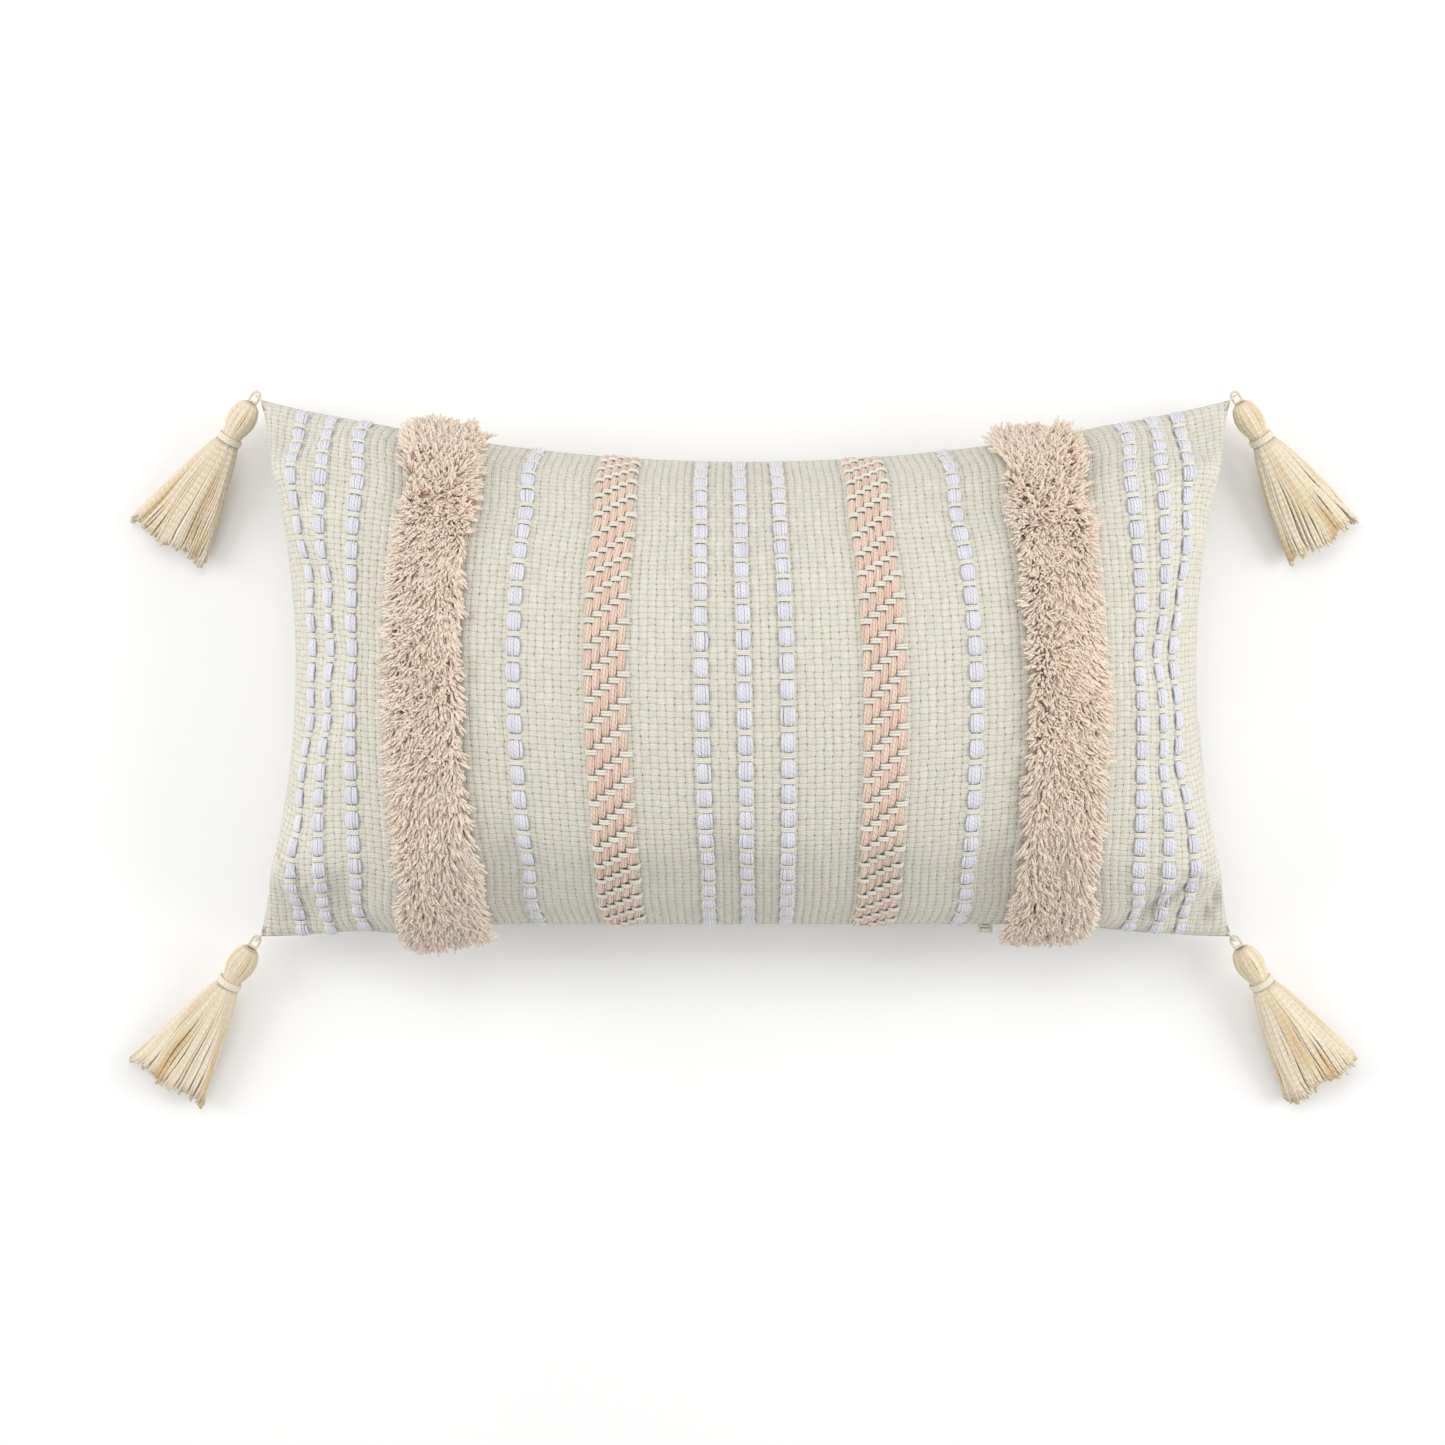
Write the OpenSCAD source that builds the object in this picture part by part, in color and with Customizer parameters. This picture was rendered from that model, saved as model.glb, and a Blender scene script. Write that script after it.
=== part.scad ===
// Lumbar throw pillow with woven stripes, two shaggy pile strips and four corner tassels.
// It lies on its back panel. The origin is the centre of the flat patch that it rests on,
// +X runs along its length, +Y towards its top edge and +Z out of its striped face.

/* [Pillow] */
// Length from corner to corner
pillow_length = 494; // [410:1:600]
// Height from corner to corner
pillow_height = 273; // [228:1:330]
// Height of the side seams above the table
seam_height = 50; // [42:1:60]
// Crown of the front panel above the seam
front_crown = 80; // [60:1:96]
// Bulge of the back panel below the seam, before the table flattens it
back_bulge = 60; // [52:1:72]
// How far the two side edges pull in between the corners
side_pull = 22; // [10:1:28]
// How far the top edge pulls in between the corners
top_pull = 34; // [14:1:41]
// How far the straight stretch of the bottom edge pulls in
bottom_pull = 8; // [4:1:12]
// How far each thin corner droops below the side seams
corner_droop = 28; // [22:1:34]

/* [Cover] */
// Thickness of the heavy woven front panel
front_wall = 2; // [1.6:0.1:2.6]
// Thickness of the plain back panel
back_wall = 1; // [0.8:0.1:1.4]
// Space between the two panels where the seam is sewn
seam_gap = 1.8; // [1.5:0.1:2.2]
// Width of the sewn edges turned inside the cover
allowance_width = 11; // [8:1:14]
// Width of the blank care label
label_width = 26; // [16:1:40]
// Length of the blank care label below the seam
label_length = 22; // [14:1:30]

/* [Stripes] */
// Width of a chain of lilac-white floats
chain_width = 7.5; // [5:0.5:10]
// Height of a chain above the ground weave
chain_rise = 1.2; // [0.6:0.1:2]
// Distance between the three chains at the middle
centre_pitch = 20; // [15:1:26]
// Distance between the three chains at each side
side_pitch = 17.5; // [13:0.5:22]
// Distance from the outermost chain to the side seam
side_margin = 23.5; // [16:0.5:30]
// Width of a zigzag stripe
zigzag_width = 22; // [16:1:28]
// Height of a zigzag stripe above the ground weave
zigzag_rise = 1.6; // [0.8:0.1:2.4]
// Width of a pile strip at its base
pile_width = 40; // [30:1:50]
// Length of the cut pile
pile_rise = 13; // [8:1:18]
// Share by which the stripes draw towards the middle at the top edge
top_gather = 0.11; // [0:0.01:0.2]
// Share by which the stripes draw towards the middle at the bottom edge
bottom_gather = 0.07; // [0:0.005:0.2]

/* [Insert] */
// Space between the seam line of the cover and that of the insert
insert_inset = 16; // [15:1:24]
// Space between the cover and the insert on the flat
insert_clearance = 0.6; // [0.4:0.1:2]
// Thickness of the insert's casing
casing_wall = 0.8; // [0.5:0.1:1.2]

/* [Zip] */
// Length of the zip's coil
zip_length = 250; // [200:5:260]
// Width of the coil
coil_width = 4; // [3:0.5:5]
// Thickness of the coil
coil_thickness = 2.4; // [1.8:0.1:3]
// Width of each tape
tape_width = 10; // [8:0.5:11]
// Length of the slider along the coil
slider_length = 10; // [7:0.5:14]
// Length of the pull
pull_length = 16; // [10:1:22]

/* [Tassels] */
// Width of a tassel's head
head_width = 15; // [12:0.5:18]
// Length of a tassel's head
head_length = 18; // [14:0.5:22]
// Width of the thread binding below the head
binding_width = 12.6; // [10:0.1:15]
// Length of the thread binding
binding_length = 5; // [3:0.5:8]
// Length of the skirt of loose yarn
skirt_length = 63; // [50:1:80]
// Width of the skirt at its cut end
skirt_width = 44; // [30:1:54]
// Thickness of the skirt at its cut end
skirt_thickness = 14; // [11:1:20]
// Thickness of the hanging loop's cord
loop_cord = 1.4; // [1:0.1:1.8]
// Distance from the corner stitch to the tassel's eye
loop_length = 3.8; // [3.2:0.1:6]
// Angle of a tassel outwards from the -Y direction
tassel_splay = 33; // [20:1:50]

/* [Hidden] */
$fn = 32;

half_length = pillow_length / 2;
half_height = pillow_height / 2;
// Moves the flat patch of the back panel onto the origin
patch_shift = 0.4;
middle_y = patch_shift * (top_pull - bottom_pull);
// Cells along and across each cover panel, and each panel of the insert
cover_cells = [28, 20];
insert_cells = [20, 14];
// The corners droop and the bottom edge turns down beyond these shares of the half sizes
droop_start = 0.7;
straight_past_zip = 25;
zip_share = (zip_length / 2 + straight_past_zip) / half_length;
fit = 0.3;

// 0 up to a, 1 from b on, and a smooth S between them
function ease(t, a, b) =
    let (k = min(1, max(0, (t - a) / (b - a))))
    k * k * (3 - 2 * k);

// Outline of a layer that lies inset inside the seam line, at shares u and v of its half sizes
function side_x(v, inset) = half_length - inset - side_pull * (1 - v * v);
function top_y(u, inset) = half_height - inset - top_pull * (1 - u * u);
function bottom_y(u, inset) =
    inset - half_height + bottom_pull * (1 - ease(abs(u), zip_share, 1));
function seam_z(u, v, inset) =
    seam_height
    - corner_droop
    * ease(abs(u) * (1 - inset / half_length), droop_start, 1)
    * ease(abs(v) * (1 - inset / half_height), droop_start, 1);
function plan(u, v, inset) = [
    u * side_x(v, inset),
    middle_y + (top_y(u, inset) * (1 + v) + bottom_y(u, inset) * (1 - v)) / 2
];

// A point of a skin: p and q are its angles round the length and the height, from -90 to 90.
// A positive rise is a front skin, and a negative one is a back skin, which lies on a floor.
function skin(p, q, inset, rise, gap, floor_z = 0) =
    let (u = sin(p), v = sin(q), at = plan(u, v, inset), z = seam_z(u, v, inset))
    rise > 0
        ? [at.x, at.y, z + gap + rise * cos(p) * cos(q)]
        : [at.x, at.y, max(floor_z, z - gap + rise * cos(p) * cos(q))];
function skin_grid(cells, inset, rise, gap, floor_z = 0) = [
    for (j = [0:cells.y]) for (i = [0:cells.x])
        skin(180 * i / cells.x - 90, 180 * j / cells.y - 90, inset, rise, gap, floor_z)
];

// Faces of one grid, seen from above, with diagonals that run the same way in all four quarters
function grid_faces(cells, first, up) = [
    for (j = [0:cells.y - 1]) for (i = [0:cells.x - 1])
        let (
            a = first + j * (cells.x + 1) + i,
            b = a + 1, c = b + cells.x + 1, d = c - 1,
            same = (i < cells.x / 2) == (j < cells.y / 2),
            pair = same ? [[a, c, b], [a, d, c]] : [[a, d, b], [b, d, c]]
        )
        for (f = pair) up ? f : [f[2], f[1], f[0]]
];
// Numbers of a grid's border points, anticlockwise from above
function grid_border(cells) =
    let (row = cells.x + 1)
    concat(
        [for (i = [0:cells.x - 1]) i],
        [for (j = [0:cells.y - 1]) j * row + cells.x],
        [for (i = [cells.x:-1:1]) cells.y * row + i],
        [for (j = [cells.y:-1:1]) j * row]
    );

// Closed solid between an upper and a lower grid of the same cells
module between(cells, upper, lower) {
    border = grid_border(cells);
    count = len(border);
    start = len(upper);
    polyhedron(
        points = concat(upper, lower),
        faces = concat(
            grid_faces(cells, 0, true),
            grid_faces(cells, start, false),
            [for (k = [0:count - 1]) let (n = (k + 1) % count)
                [border[k], border[n], start + border[n]]],
            [for (k = [0:count - 1]) let (n = (k + 1) % count)
                [border[k], start + border[n], start + border[k]]]
        ),
        convexity = 6
    );
}

// Closed solid through a row of rings, each anticlockwise when seen from before the first
module loft(rings) {
    n = len(rings[0]);
    last = len(rings) - 1;
    polyhedron(
        points = [for (ring = rings) each ring],
        faces = concat(
            [[for (k = [n - 1:-1:0]) k]],
            [[for (k = [0:n - 1]) last * n + k]],
            [for (r = [0:last - 1]) for (k = [0:n - 1])
                [r * n + k, r * n + (k + 1) % n, (r + 1) * n + (k + 1) % n]],
            [for (r = [0:last - 1]) for (k = [0:n - 1])
                [r * n + k, (r + 1) * n + (k + 1) % n, (r + 1) * n + k]]
        ),
        convexity = 6
    );
}

// ---------- cover ----------

module front_panel() {
    color("#e8e8da")
        between(
            cover_cells,
            skin_grid(cover_cells, 0, front_crown, seam_gap / 2),
            skin_grid(cover_cells, front_wall, front_crown - front_wall, seam_gap / 2)
        );
}

module back_panel() {
    color("#e4e0d2")
        between(
            cover_cells,
            skin_grid(cover_cells, back_wall, back_wall - back_bulge, seam_gap / 2, back_wall),
            skin_grid(cover_cells, 0, -back_bulge, seam_gap / 2)
        );
}

// The sewn edges lie between the panels, all round but along the zip
allowance_start = 1;
allowance_half = seam_gap / 2 - fit;
function edge_ring(p, q) = [
    for (corner = [[1, -1], [0, -1], [0, 1], [1, 1]])
        let (
            inset = allowance_start + corner[0] * allowance_width,
            at = plan(sin(p), sin(q), inset)
        )
        [at.x, at.y, seam_z(sin(p), sin(q), inset) + corner[1] * allowance_half]
];

module seam_allowance() {
    step_p = 180 / cover_cells.x;
    step_q = 180 / cover_cells.y;
    first = ceil(asin(zip_share) / step_p) * step_p;
    color("#d8d4c6")
        loft(concat(
            [for (p = [first:step_p:89]) edge_ring(p, -90)],
            [for (q = [-90:step_q:89]) edge_ring(90, q)],
            [for (p = [90:-step_p:-89]) edge_ring(p, 90)],
            [for (q = [90:-step_q:-89]) edge_ring(-90, q)],
            [for (p = [-90:step_p:-first + 1]) edge_ring(p, -90)]
        ));
}

// A blank folded ribbon, caught in the right side seam and hanging down the back
label_thickness = 0.4;
label_stand = 0.7;
label_tongue = 0.7;
label_v = -0.3;
label_step = 0.02;

module care_label() {
    at = plan(1, label_v, 0);
    ahead = plan(1, label_v + label_step, 0);
    turn = atan2(at.x - ahead.x, ahead.y - at.y);
    color("#fbfbf8")
        translate([at.x, at.y, seam_z(1, label_v, 0)]) rotate([0, 0, turn]) {
            translate([-label_tongue, -label_width / 2, -label_thickness / 2])
                cube([label_tongue + label_stand + label_thickness, label_width, label_thickness]);
            translate([label_stand, -label_width / 2, label_thickness / 2 - label_length])
                cube([label_thickness, label_width, label_length]);
        }
}

// ---------- insert ----------

casing_gap = 0.2;
casing_front = front_crown - front_wall - insert_clearance;
casing_back = back_bulge - back_wall - insert_clearance;
casing_floor = back_wall + insert_clearance;

module insert_front() {
    color("#f4f4f2")
        between(
            insert_cells,
            skin_grid(insert_cells, insert_inset, casing_front, casing_gap / 2),
            skin_grid(
                insert_cells, insert_inset + casing_wall, casing_front - casing_wall, casing_gap / 2
            )
        );
}

module insert_back() {
    color("#efefec")
        between(
            insert_cells,
            skin_grid(
                insert_cells, insert_inset + casing_wall, casing_wall - casing_back,
                casing_gap / 2, casing_floor + casing_wall
            ),
            skin_grid(insert_cells, insert_inset, -casing_back, casing_gap / 2, casing_floor)
        );
}

// The fill stops a little short of the casing's seam
fill_short = 1.2;
module polyester_fill() {
    inset = insert_inset + casing_wall + fill_short;
    color("#ffffff")
        between(
            insert_cells,
            skin_grid(insert_cells, inset, casing_front - casing_wall - fit, fit),
            skin_grid(
                insert_cells, inset, casing_wall + fit - casing_back,
                fit, casing_floor + casing_wall + fit
            )
        );
}

// ---------- stripes ----------

// The cloth doesn't stretch, so a stripe keeps its share of the distance over the crown.
// Each row of the cover has a table from that share to the angle p.
stripe_rows = [1:cover_cells.y - 1];
arc_steps = 30;
function row_angle(j) = 180 * j / cover_cells.y - 90;
function front_skin(p, q) = skin(p, q, 0, front_crown, seam_gap / 2);
function arcs(q, k = 1, done = [0]) =
    k > arc_steps
        ? done
        : arcs(
            q, k + 1,
            concat(done, [
                done[k - 1]
                + norm(front_skin(90 * k / arc_steps, q) - front_skin(90 * (k - 1) / arc_steps, q))
            ])
        );
row_tables = [
    for (j = [0:cover_cells.y])
        let (done = arcs(row_angle(j)), total = done[arc_steps])
        [for (k = [0:arc_steps]) [done[k] / total, 90 * k / arc_steps]]
];

// The side seams hold the cloth, and between them the top and bottom seams gather it
function gathered(share, v) =
    let (gather = v > 0 ? top_gather : bottom_gather)
    share * (1 - gather * v * v * (1 - share * share));

// A point over the cover: cloth_x is the distance from the middle on the flat cloth
function over_cover(j, cloth_x, lift) =
    let (
        q = row_angle(j),
        share = gathered(abs(cloth_x) / half_length, sin(q)),
        p = sign(cloth_x) * lookup(share, row_tables[j]),
        d = 0.5,
        along = front_skin(p + d, q) - front_skin(p - d, q),
        across = front_skin(p, q + d) - front_skin(p, q - d),
        out = cross(along, across)
    )
    front_skin(p, q) + lift * out / norm(out);

// Height of a stripe's section at share s of its half width: power 0 is flat
function section_rise(s, rise, power) = rise * pow(1 - s * s, power);

stripe_clearance = 0.4;
module stripe(cloth_x, width, rise, columns, edge_rise, power) {
    loft([
        for (j = stripe_rows) concat(
            [for (k = [0:columns])
                over_cover(j, cloth_x + width * (k / columns - 0.5), stripe_clearance)],
            [for (k = [columns:-1:0])
                let (s = 2 * k / columns - 1)
                over_cover(
                    j, cloth_x + width * s / 2,
                    stripe_clearance + edge_rise + section_rise(s, rise - edge_rise, power)
                )]
        )
    ]);
}

// The plain ground between the stripes takes up what the stripes leave of the half length
side_group = 2 * side_pitch + chain_width;
centre_group = centre_pitch + chain_width / 2;
plain_shares = [29, 28, 19, 15];
plain_sum = plain_shares[0] + plain_shares[1] + plain_shares[2] + plain_shares[3];
plain_left =
    half_length - centre_group - zigzag_width - chain_width - pile_width - side_group
    - (side_margin - chain_width / 2);
plain = plain_shares * plain_left / plain_sum;
zigzag_x = centre_group + plain[0] + zigzag_width / 2;
single_x = zigzag_x + zigzag_width / 2 + plain[1] + chain_width / 2;
pile_x = single_x + chain_width / 2 + plain[2] + pile_width / 2;
outer_x = half_length - side_margin;
middle_x = outer_x - side_pitch;
inner_x = middle_x - side_pitch;

module chain(cloth_x) {
    color("#e8e8f5") stripe(cloth_x, chain_width, chain_rise, 2, chain_rise / 2, 0.5);
}
module chain_left_outer() { chain(-outer_x); }
module chain_left_middle() { chain(-middle_x); }
module chain_left_inner() { chain(-inner_x); }
module chain_left_single() { chain(-single_x); }
module chain_centre_left() { chain(-centre_pitch); }
module chain_centre() { chain(0); }
module chain_centre_right() { chain(centre_pitch); }
module chain_right_single() { chain(single_x); }
module chain_right_inner() { chain(inner_x); }
module chain_right_middle() { chain(middle_x); }
module chain_right_outer() { chain(outer_x); }

module zigzag(cloth_x) {
    color("#ebcdb9") stripe(cloth_x, zigzag_width, zigzag_rise, 4, zigzag_rise / 2, 0.5);
}
module zigzag_left() { zigzag(-zigzag_x); }
module zigzag_right() { zigzag(zigzag_x); }

module pile_strip(cloth_x) {
    color("#ecd6c6") stripe(cloth_x, pile_width, pile_rise, 8, 1, 0.4);
}
module pile_strip_left() { pile_strip(-pile_x); }
module pile_strip_right() { pile_strip(pile_x); }

// ---------- zip ----------

// The zip is drawn in its own frame: the bottom seam's edge at the origin and +Y into the cover
module at_zip(x = 0) {
    translate([x, middle_y + bottom_y(0, 0), seam_height]) children();
}

slider_clearance = 1.2;
slider_start = front_wall + slider_clearance;
slider_wall = 1.1;
slider_plate = 0.9;
slider_lip = 1.2;
tape_thickness = 0.4;
tape_gap = 0.1;
zip_fit = 0.4;
coil_y = slider_start + slider_wall + zip_fit;
tape_z = coil_thickness / 2 + tape_gap;
passage = tape_z + tape_thickness + zip_fit;
stop_length = 2;
stop_gap = 0.2;
// The slider rests closed, at the right-hand end, and opens towards -X
slider_x = zip_length / 2 - slider_length / 2 - fit;
neck_width = 3;
neck_half = seam_gap / 2 - zip_fit;
crown_y = -0.5;
crown_thickness = 0.8;
crown_width = 7;
crown_half = 1.6;
pull_pin = 1.2;
pin_play = 0.4;
pull_bore = pull_pin + pin_play;
pull_eye = 3;
lug_width = 0.8;
pin_y = crown_y - crown_thickness - pull_eye / 2 - fit;
pull_width = crown_width - 2 * lug_width - 2 * fit;

module tape(lower_z) {
    color("#e6e2d4")
        at_zip()
            translate([-zip_length / 2, coil_y, lower_z])
                cube([zip_length, tape_width, tape_thickness]);
}
module zip_tape_front() { tape(tape_z); }
module zip_tape_back() { tape(-tape_z - tape_thickness); }

module zip_coil() {
    // The interlocked monofilament as one bar with a rounded section
    color("#dcd8ca")
        at_zip()
            translate([-zip_length / 2, coil_y + coil_width / 2, 0])
                rotate([90, 0, 90])
                    linear_extrude(zip_length)
                        union() {
                            square([coil_width - coil_thickness, coil_thickness], center = true);
                            for (side = [-1, 1])
                                translate([side * (coil_width - coil_thickness) / 2, 0])
                                    circle(d = coil_thickness);
                        }
}

module stop(x) {
    color("#c9c5b8")
        at_zip(x)
            translate([-stop_length / 2, coil_y, -passage])
                cube([stop_length, coil_width, 2 * passage]);
}
module zip_top_stop() { stop(zip_length / 2 + stop_gap + stop_length / 2); }
module zip_bottom_stop() { stop(-zip_length / 2 - stop_gap - stop_length / 2); }

module zip_slider() {
    outer_z = passage + slider_plate;
    body_y = slider_wall + zip_fit + coil_width + slider_lip;
    color("#cfcabb")
        at_zip(slider_x) {
            difference() {
                translate([-slider_length / 2, slider_start, -outer_z])
                    cube([slider_length, body_y, 2 * outer_z]);
                translate([-slider_length, slider_start + slider_wall, -passage])
                    cube([2 * slider_length, body_y, 2 * passage]);
            }
            translate([-neck_width / 2, crown_y - crown_thickness / 2, -neck_half])
                cube([neck_width, slider_start + slider_wall - crown_y, 2 * neck_half]);
            translate([-crown_width / 2, crown_y - crown_thickness, -crown_half])
                cube([crown_width, crown_thickness, 2 * crown_half]);
            for (side = [-1, 1])
                translate([side * (crown_width - lug_width) / 2 - lug_width / 2, 0, 0])
                    rotate([90, 0, 90]) linear_extrude(lug_width) {
                        translate([pin_y, 0]) circle(d = 2 * crown_half);
                        translate([pin_y, -crown_half])
                            square([crown_y - pin_y, 2 * crown_half]);
                    }
            translate([-crown_width / 2, pin_y, 0])
                rotate([0, 90, 0]) cylinder(d = pull_pin, h = crown_width);
        }
}

module zip_pull() {
    blade = 1;
    hole = pull_width / 2.5;
    color("#cfcabb")
        at_zip(slider_x)
            translate([0, pin_y, 0])
                difference() {
                    union() {
                        translate([-pull_width / 2, 0, 0])
                            rotate([0, 90, 0]) cylinder(d = pull_eye, h = pull_width);
                        translate([0, blade / 2, 0]) rotate([90, 0, 0]) linear_extrude(blade) {
                            translate([-pull_width / 2, pull_width / 2 - pull_length])
                                square([pull_width, pull_length - pull_width / 2]);
                            translate([0, pull_width / 2 - pull_length]) circle(d = pull_width);
                        }
                    }
                    translate([-pull_width, 0, 0])
                        rotate([0, 90, 0]) cylinder(d = pull_bore, h = 2 * pull_width);
                    translate([0, blade, pull_width / 2 - pull_length])
                        rotate([90, 0, 0]) cylinder(d = hole, h = 2 * blade);
                }
}

// ---------- tassels ----------

loop_half = 2.1;
stitch_thread = 1.2;
stitch_arm = 1;
stitch_half = loop_cord / 2 + 2 * fit + stitch_arm / 2;
stitch_knot = 0.3;
// The loop passes between the stitch and the corner
stitch_stand = loop_half + loop_cord / 2 + fit;
stitch_hold = 2.2;
stitch_reach = stitch_stand + stitch_hold;
corner_z = seam_height - corner_droop;
eye_width = 2 * loop_half - loop_cord - 2 * fit;
eye_size = 4.2;
eye_bore = loop_cord + 2 * fit;
head_start = 1.7;
head_tuck = 1.2;
binding_gap = 0.1;
binding_wall = 1.2;
binding_round = 0.6;
binding_start = head_start + head_length;
skirt_start = binding_start + binding_length;
tassel_length = skirt_start + skirt_length;
core_width = binding_width - 2 * binding_wall;
table_clearance = 0.15;
// The tassel slopes down from the corner until the cut end lies on the table
tassel_slope = asin((corner_z - skirt_thickness / 2 - table_clearance) / tassel_length);

// Puts a piece at a corner, in the stitch's frame: side and end are 1 or -1
module at_corner(side, end) {
    out = stitch_stand / sqrt(2);
    translate([
        side * (half_length + out),
        middle_y + end * (half_height + out),
        corner_z
    ])
        children();
}

// Turns the stitch's frame so that +X runs along the tassel
module along_tassel(side) {
    rotate([0, 0, -90 + side * tassel_splay]) children();
}

// Moves to the tassel's eye and tips the tassel down, with its length along +X
module at_tassel(side, end) {
    at_corner(side, end)
        along_tassel(side)
            translate([loop_length, 0, 0]) rotate([0, tassel_slope, 0]) children();
}

// A staple of thick thread: an upright that the loop swings on, and two ends sewn to the panels
module corner_stitch(side, end) {
    color("#d9cdb8")
        at_corner(side, end) {
            translate([0, 0, -stitch_half - stitch_arm / 2 - stitch_knot])
                cylinder(d = stitch_thread, h = 2 * (stitch_half + stitch_knot) + stitch_arm);
            for (z = [-stitch_half, stitch_half])
                translate([0, 0, z])
                    rotate([0, 90, atan2(-end, -side)]) cylinder(d = stitch_arm, h = stitch_reach);
        }
}
module corner_stitch_tl() { corner_stitch(-1, 1); }
module corner_stitch_tr() { corner_stitch(1, 1); }
module corner_stitch_bl() { corner_stitch(-1, -1); }
module corner_stitch_br() { corner_stitch(1, -1); }

// A closed loop of cord: round the stitch at one end and straight through the eye at the other
module tassel_loop(side, end) {
    color("#e0d3bd")
        at_corner(side, end) along_tassel(side) {
            rotate([0, 0, 90])
                rotate_extrude(angle = 180) translate([loop_half, 0]) circle(d = loop_cord);
            for (y = [-loop_half, loop_half])
                translate([0, y, 0]) rotate([0, 90, 0]) cylinder(d = loop_cord, h = loop_length);
            translate([loop_length, -loop_half, 0])
                rotate([-90, 0, 0]) cylinder(d = loop_cord, h = 2 * loop_half);
            for (y = [-loop_half, loop_half])
                translate([loop_length, y, 0]) sphere(d = loop_cord);
        }
}
module tassel_loop_tl() { tassel_loop(-1, 1); }
module tassel_loop_tr() { tassel_loop(1, 1); }
module tassel_loop_bl() { tassel_loop(-1, -1); }
module tassel_loop_br() { tassel_loop(1, -1); }

// Half width of the head at a distance from the tassel's eye: an egg, and then the bundled yarn
function head_half(s) =
    let (k = (s - head_start - head_length / 2) / (head_length / 2 + head_tuck))
    max(core_width / 2, head_width / 2 * sqrt(max(0, 1 - k * k)));

// The head is yarn folded over the eye. Its core runs on through the binding.
module tassel_head(side, end) {
    steps = 20;
    color("#ece0cd")
        at_tassel(side, end)
            difference() {
                union() {
                    rotate([0, 90, 0])
                        rotate_extrude()
                            polygon(concat(
                                [[0, head_start], [core_width / 3, head_start]],
                                [for (k = [1:steps])
                                    let (s = head_start + head_length * k / steps)
                                    [head_half(s), s]],
                                [[core_width / 2, skirt_start], [0, skirt_start]]
                            ));
                    translate([0, eye_width / 2, 0])
                        rotate([90, 0, 0]) cylinder(d = eye_size, h = eye_width);
                }
                translate([0, head_width, 0])
                    rotate([90, 0, 0]) cylinder(d = eye_bore, h = 2 * head_width);
            }
}
module tassel_head_tl() { tassel_head(-1, 1); }
module tassel_head_tr() { tassel_head(1, 1); }
module tassel_head_bl() { tassel_head(-1, -1); }
module tassel_head_br() { tassel_head(1, -1); }

// Thread wound round the core, with a rounded edge at each end
module tassel_binding(side, end) {
    inner = core_width / 2 + binding_gap;
    outer = binding_width / 2;
    shoulder = outer - binding_round;
    last = binding_length - 2 * binding_gap;
    color("#d3c6ae")
        at_tassel(side, end)
            translate([binding_start + binding_gap, 0, 0])
                rotate([0, 90, 0])
                    rotate_extrude()
                        polygon([
                            [inner, 0], [shoulder, 0], [outer, binding_round],
                            [outer, last - binding_round], [shoulder, last], [inner, last]
                        ]);
}
module tassel_binding_tl() { tassel_binding(-1, 1); }
module tassel_binding_tr() { tassel_binding(1, 1); }
module tassel_binding_bl() { tassel_binding(-1, -1); }
module tassel_binding_br() { tassel_binding(1, -1); }

// The loose yarn: round below the binding, and wide and flat at the cut end
module tassel_skirt(side, end) {
    rings = 8;
    sides = 20;
    spread = 0.85;
    color("#ece0cd")
        at_tassel(side, end)
            loft([
                for (r = [0:rings])
                    let (
                        k = r / rings,
                        wide = core_width / 2 + (skirt_width - core_width) / 2 * pow(k, spread),
                        thick = core_width / 2 + (skirt_thickness - core_width) / 2 * sqrt(k)
                    )
                    [for (c = [0:sides - 1])
                        [
                            skirt_start + skirt_length * k,
                            wide * cos(360 * c / sides),
                            thick * sin(360 * c / sides)
                        ]]
            ]);
}
module tassel_skirt_tl() { tassel_skirt(-1, 1); }
module tassel_skirt_tr() { tassel_skirt(1, 1); }
module tassel_skirt_bl() { tassel_skirt(-1, -1); }
module tassel_skirt_br() { tassel_skirt(1, -1); }

front_panel();
back_panel();
seam_allowance();
care_label();
insert_front();
insert_back();
polyester_fill();
chain_left_outer();
chain_left_middle();
chain_left_inner();
chain_left_single();
chain_centre_left();
chain_centre();
chain_centre_right();
chain_right_single();
chain_right_inner();
chain_right_middle();
chain_right_outer();
zigzag_left();
zigzag_right();
pile_strip_left();
pile_strip_right();
zip_tape_front();
zip_tape_back();
zip_coil();
zip_top_stop();
zip_bottom_stop();
zip_slider();
zip_pull();
corner_stitch_tl();
corner_stitch_tr();
corner_stitch_bl();
corner_stitch_br();
tassel_loop_tl();
tassel_loop_tr();
tassel_loop_bl();
tassel_loop_br();
tassel_head_tl();
tassel_head_tr();
tassel_head_bl();
tassel_head_br();
tassel_binding_tl();
tassel_binding_tr();
tassel_binding_bl();
tassel_binding_br();
tassel_skirt_tl();
tassel_skirt_tr();
tassel_skirt_bl();
tassel_skirt_br();
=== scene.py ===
import math

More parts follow.
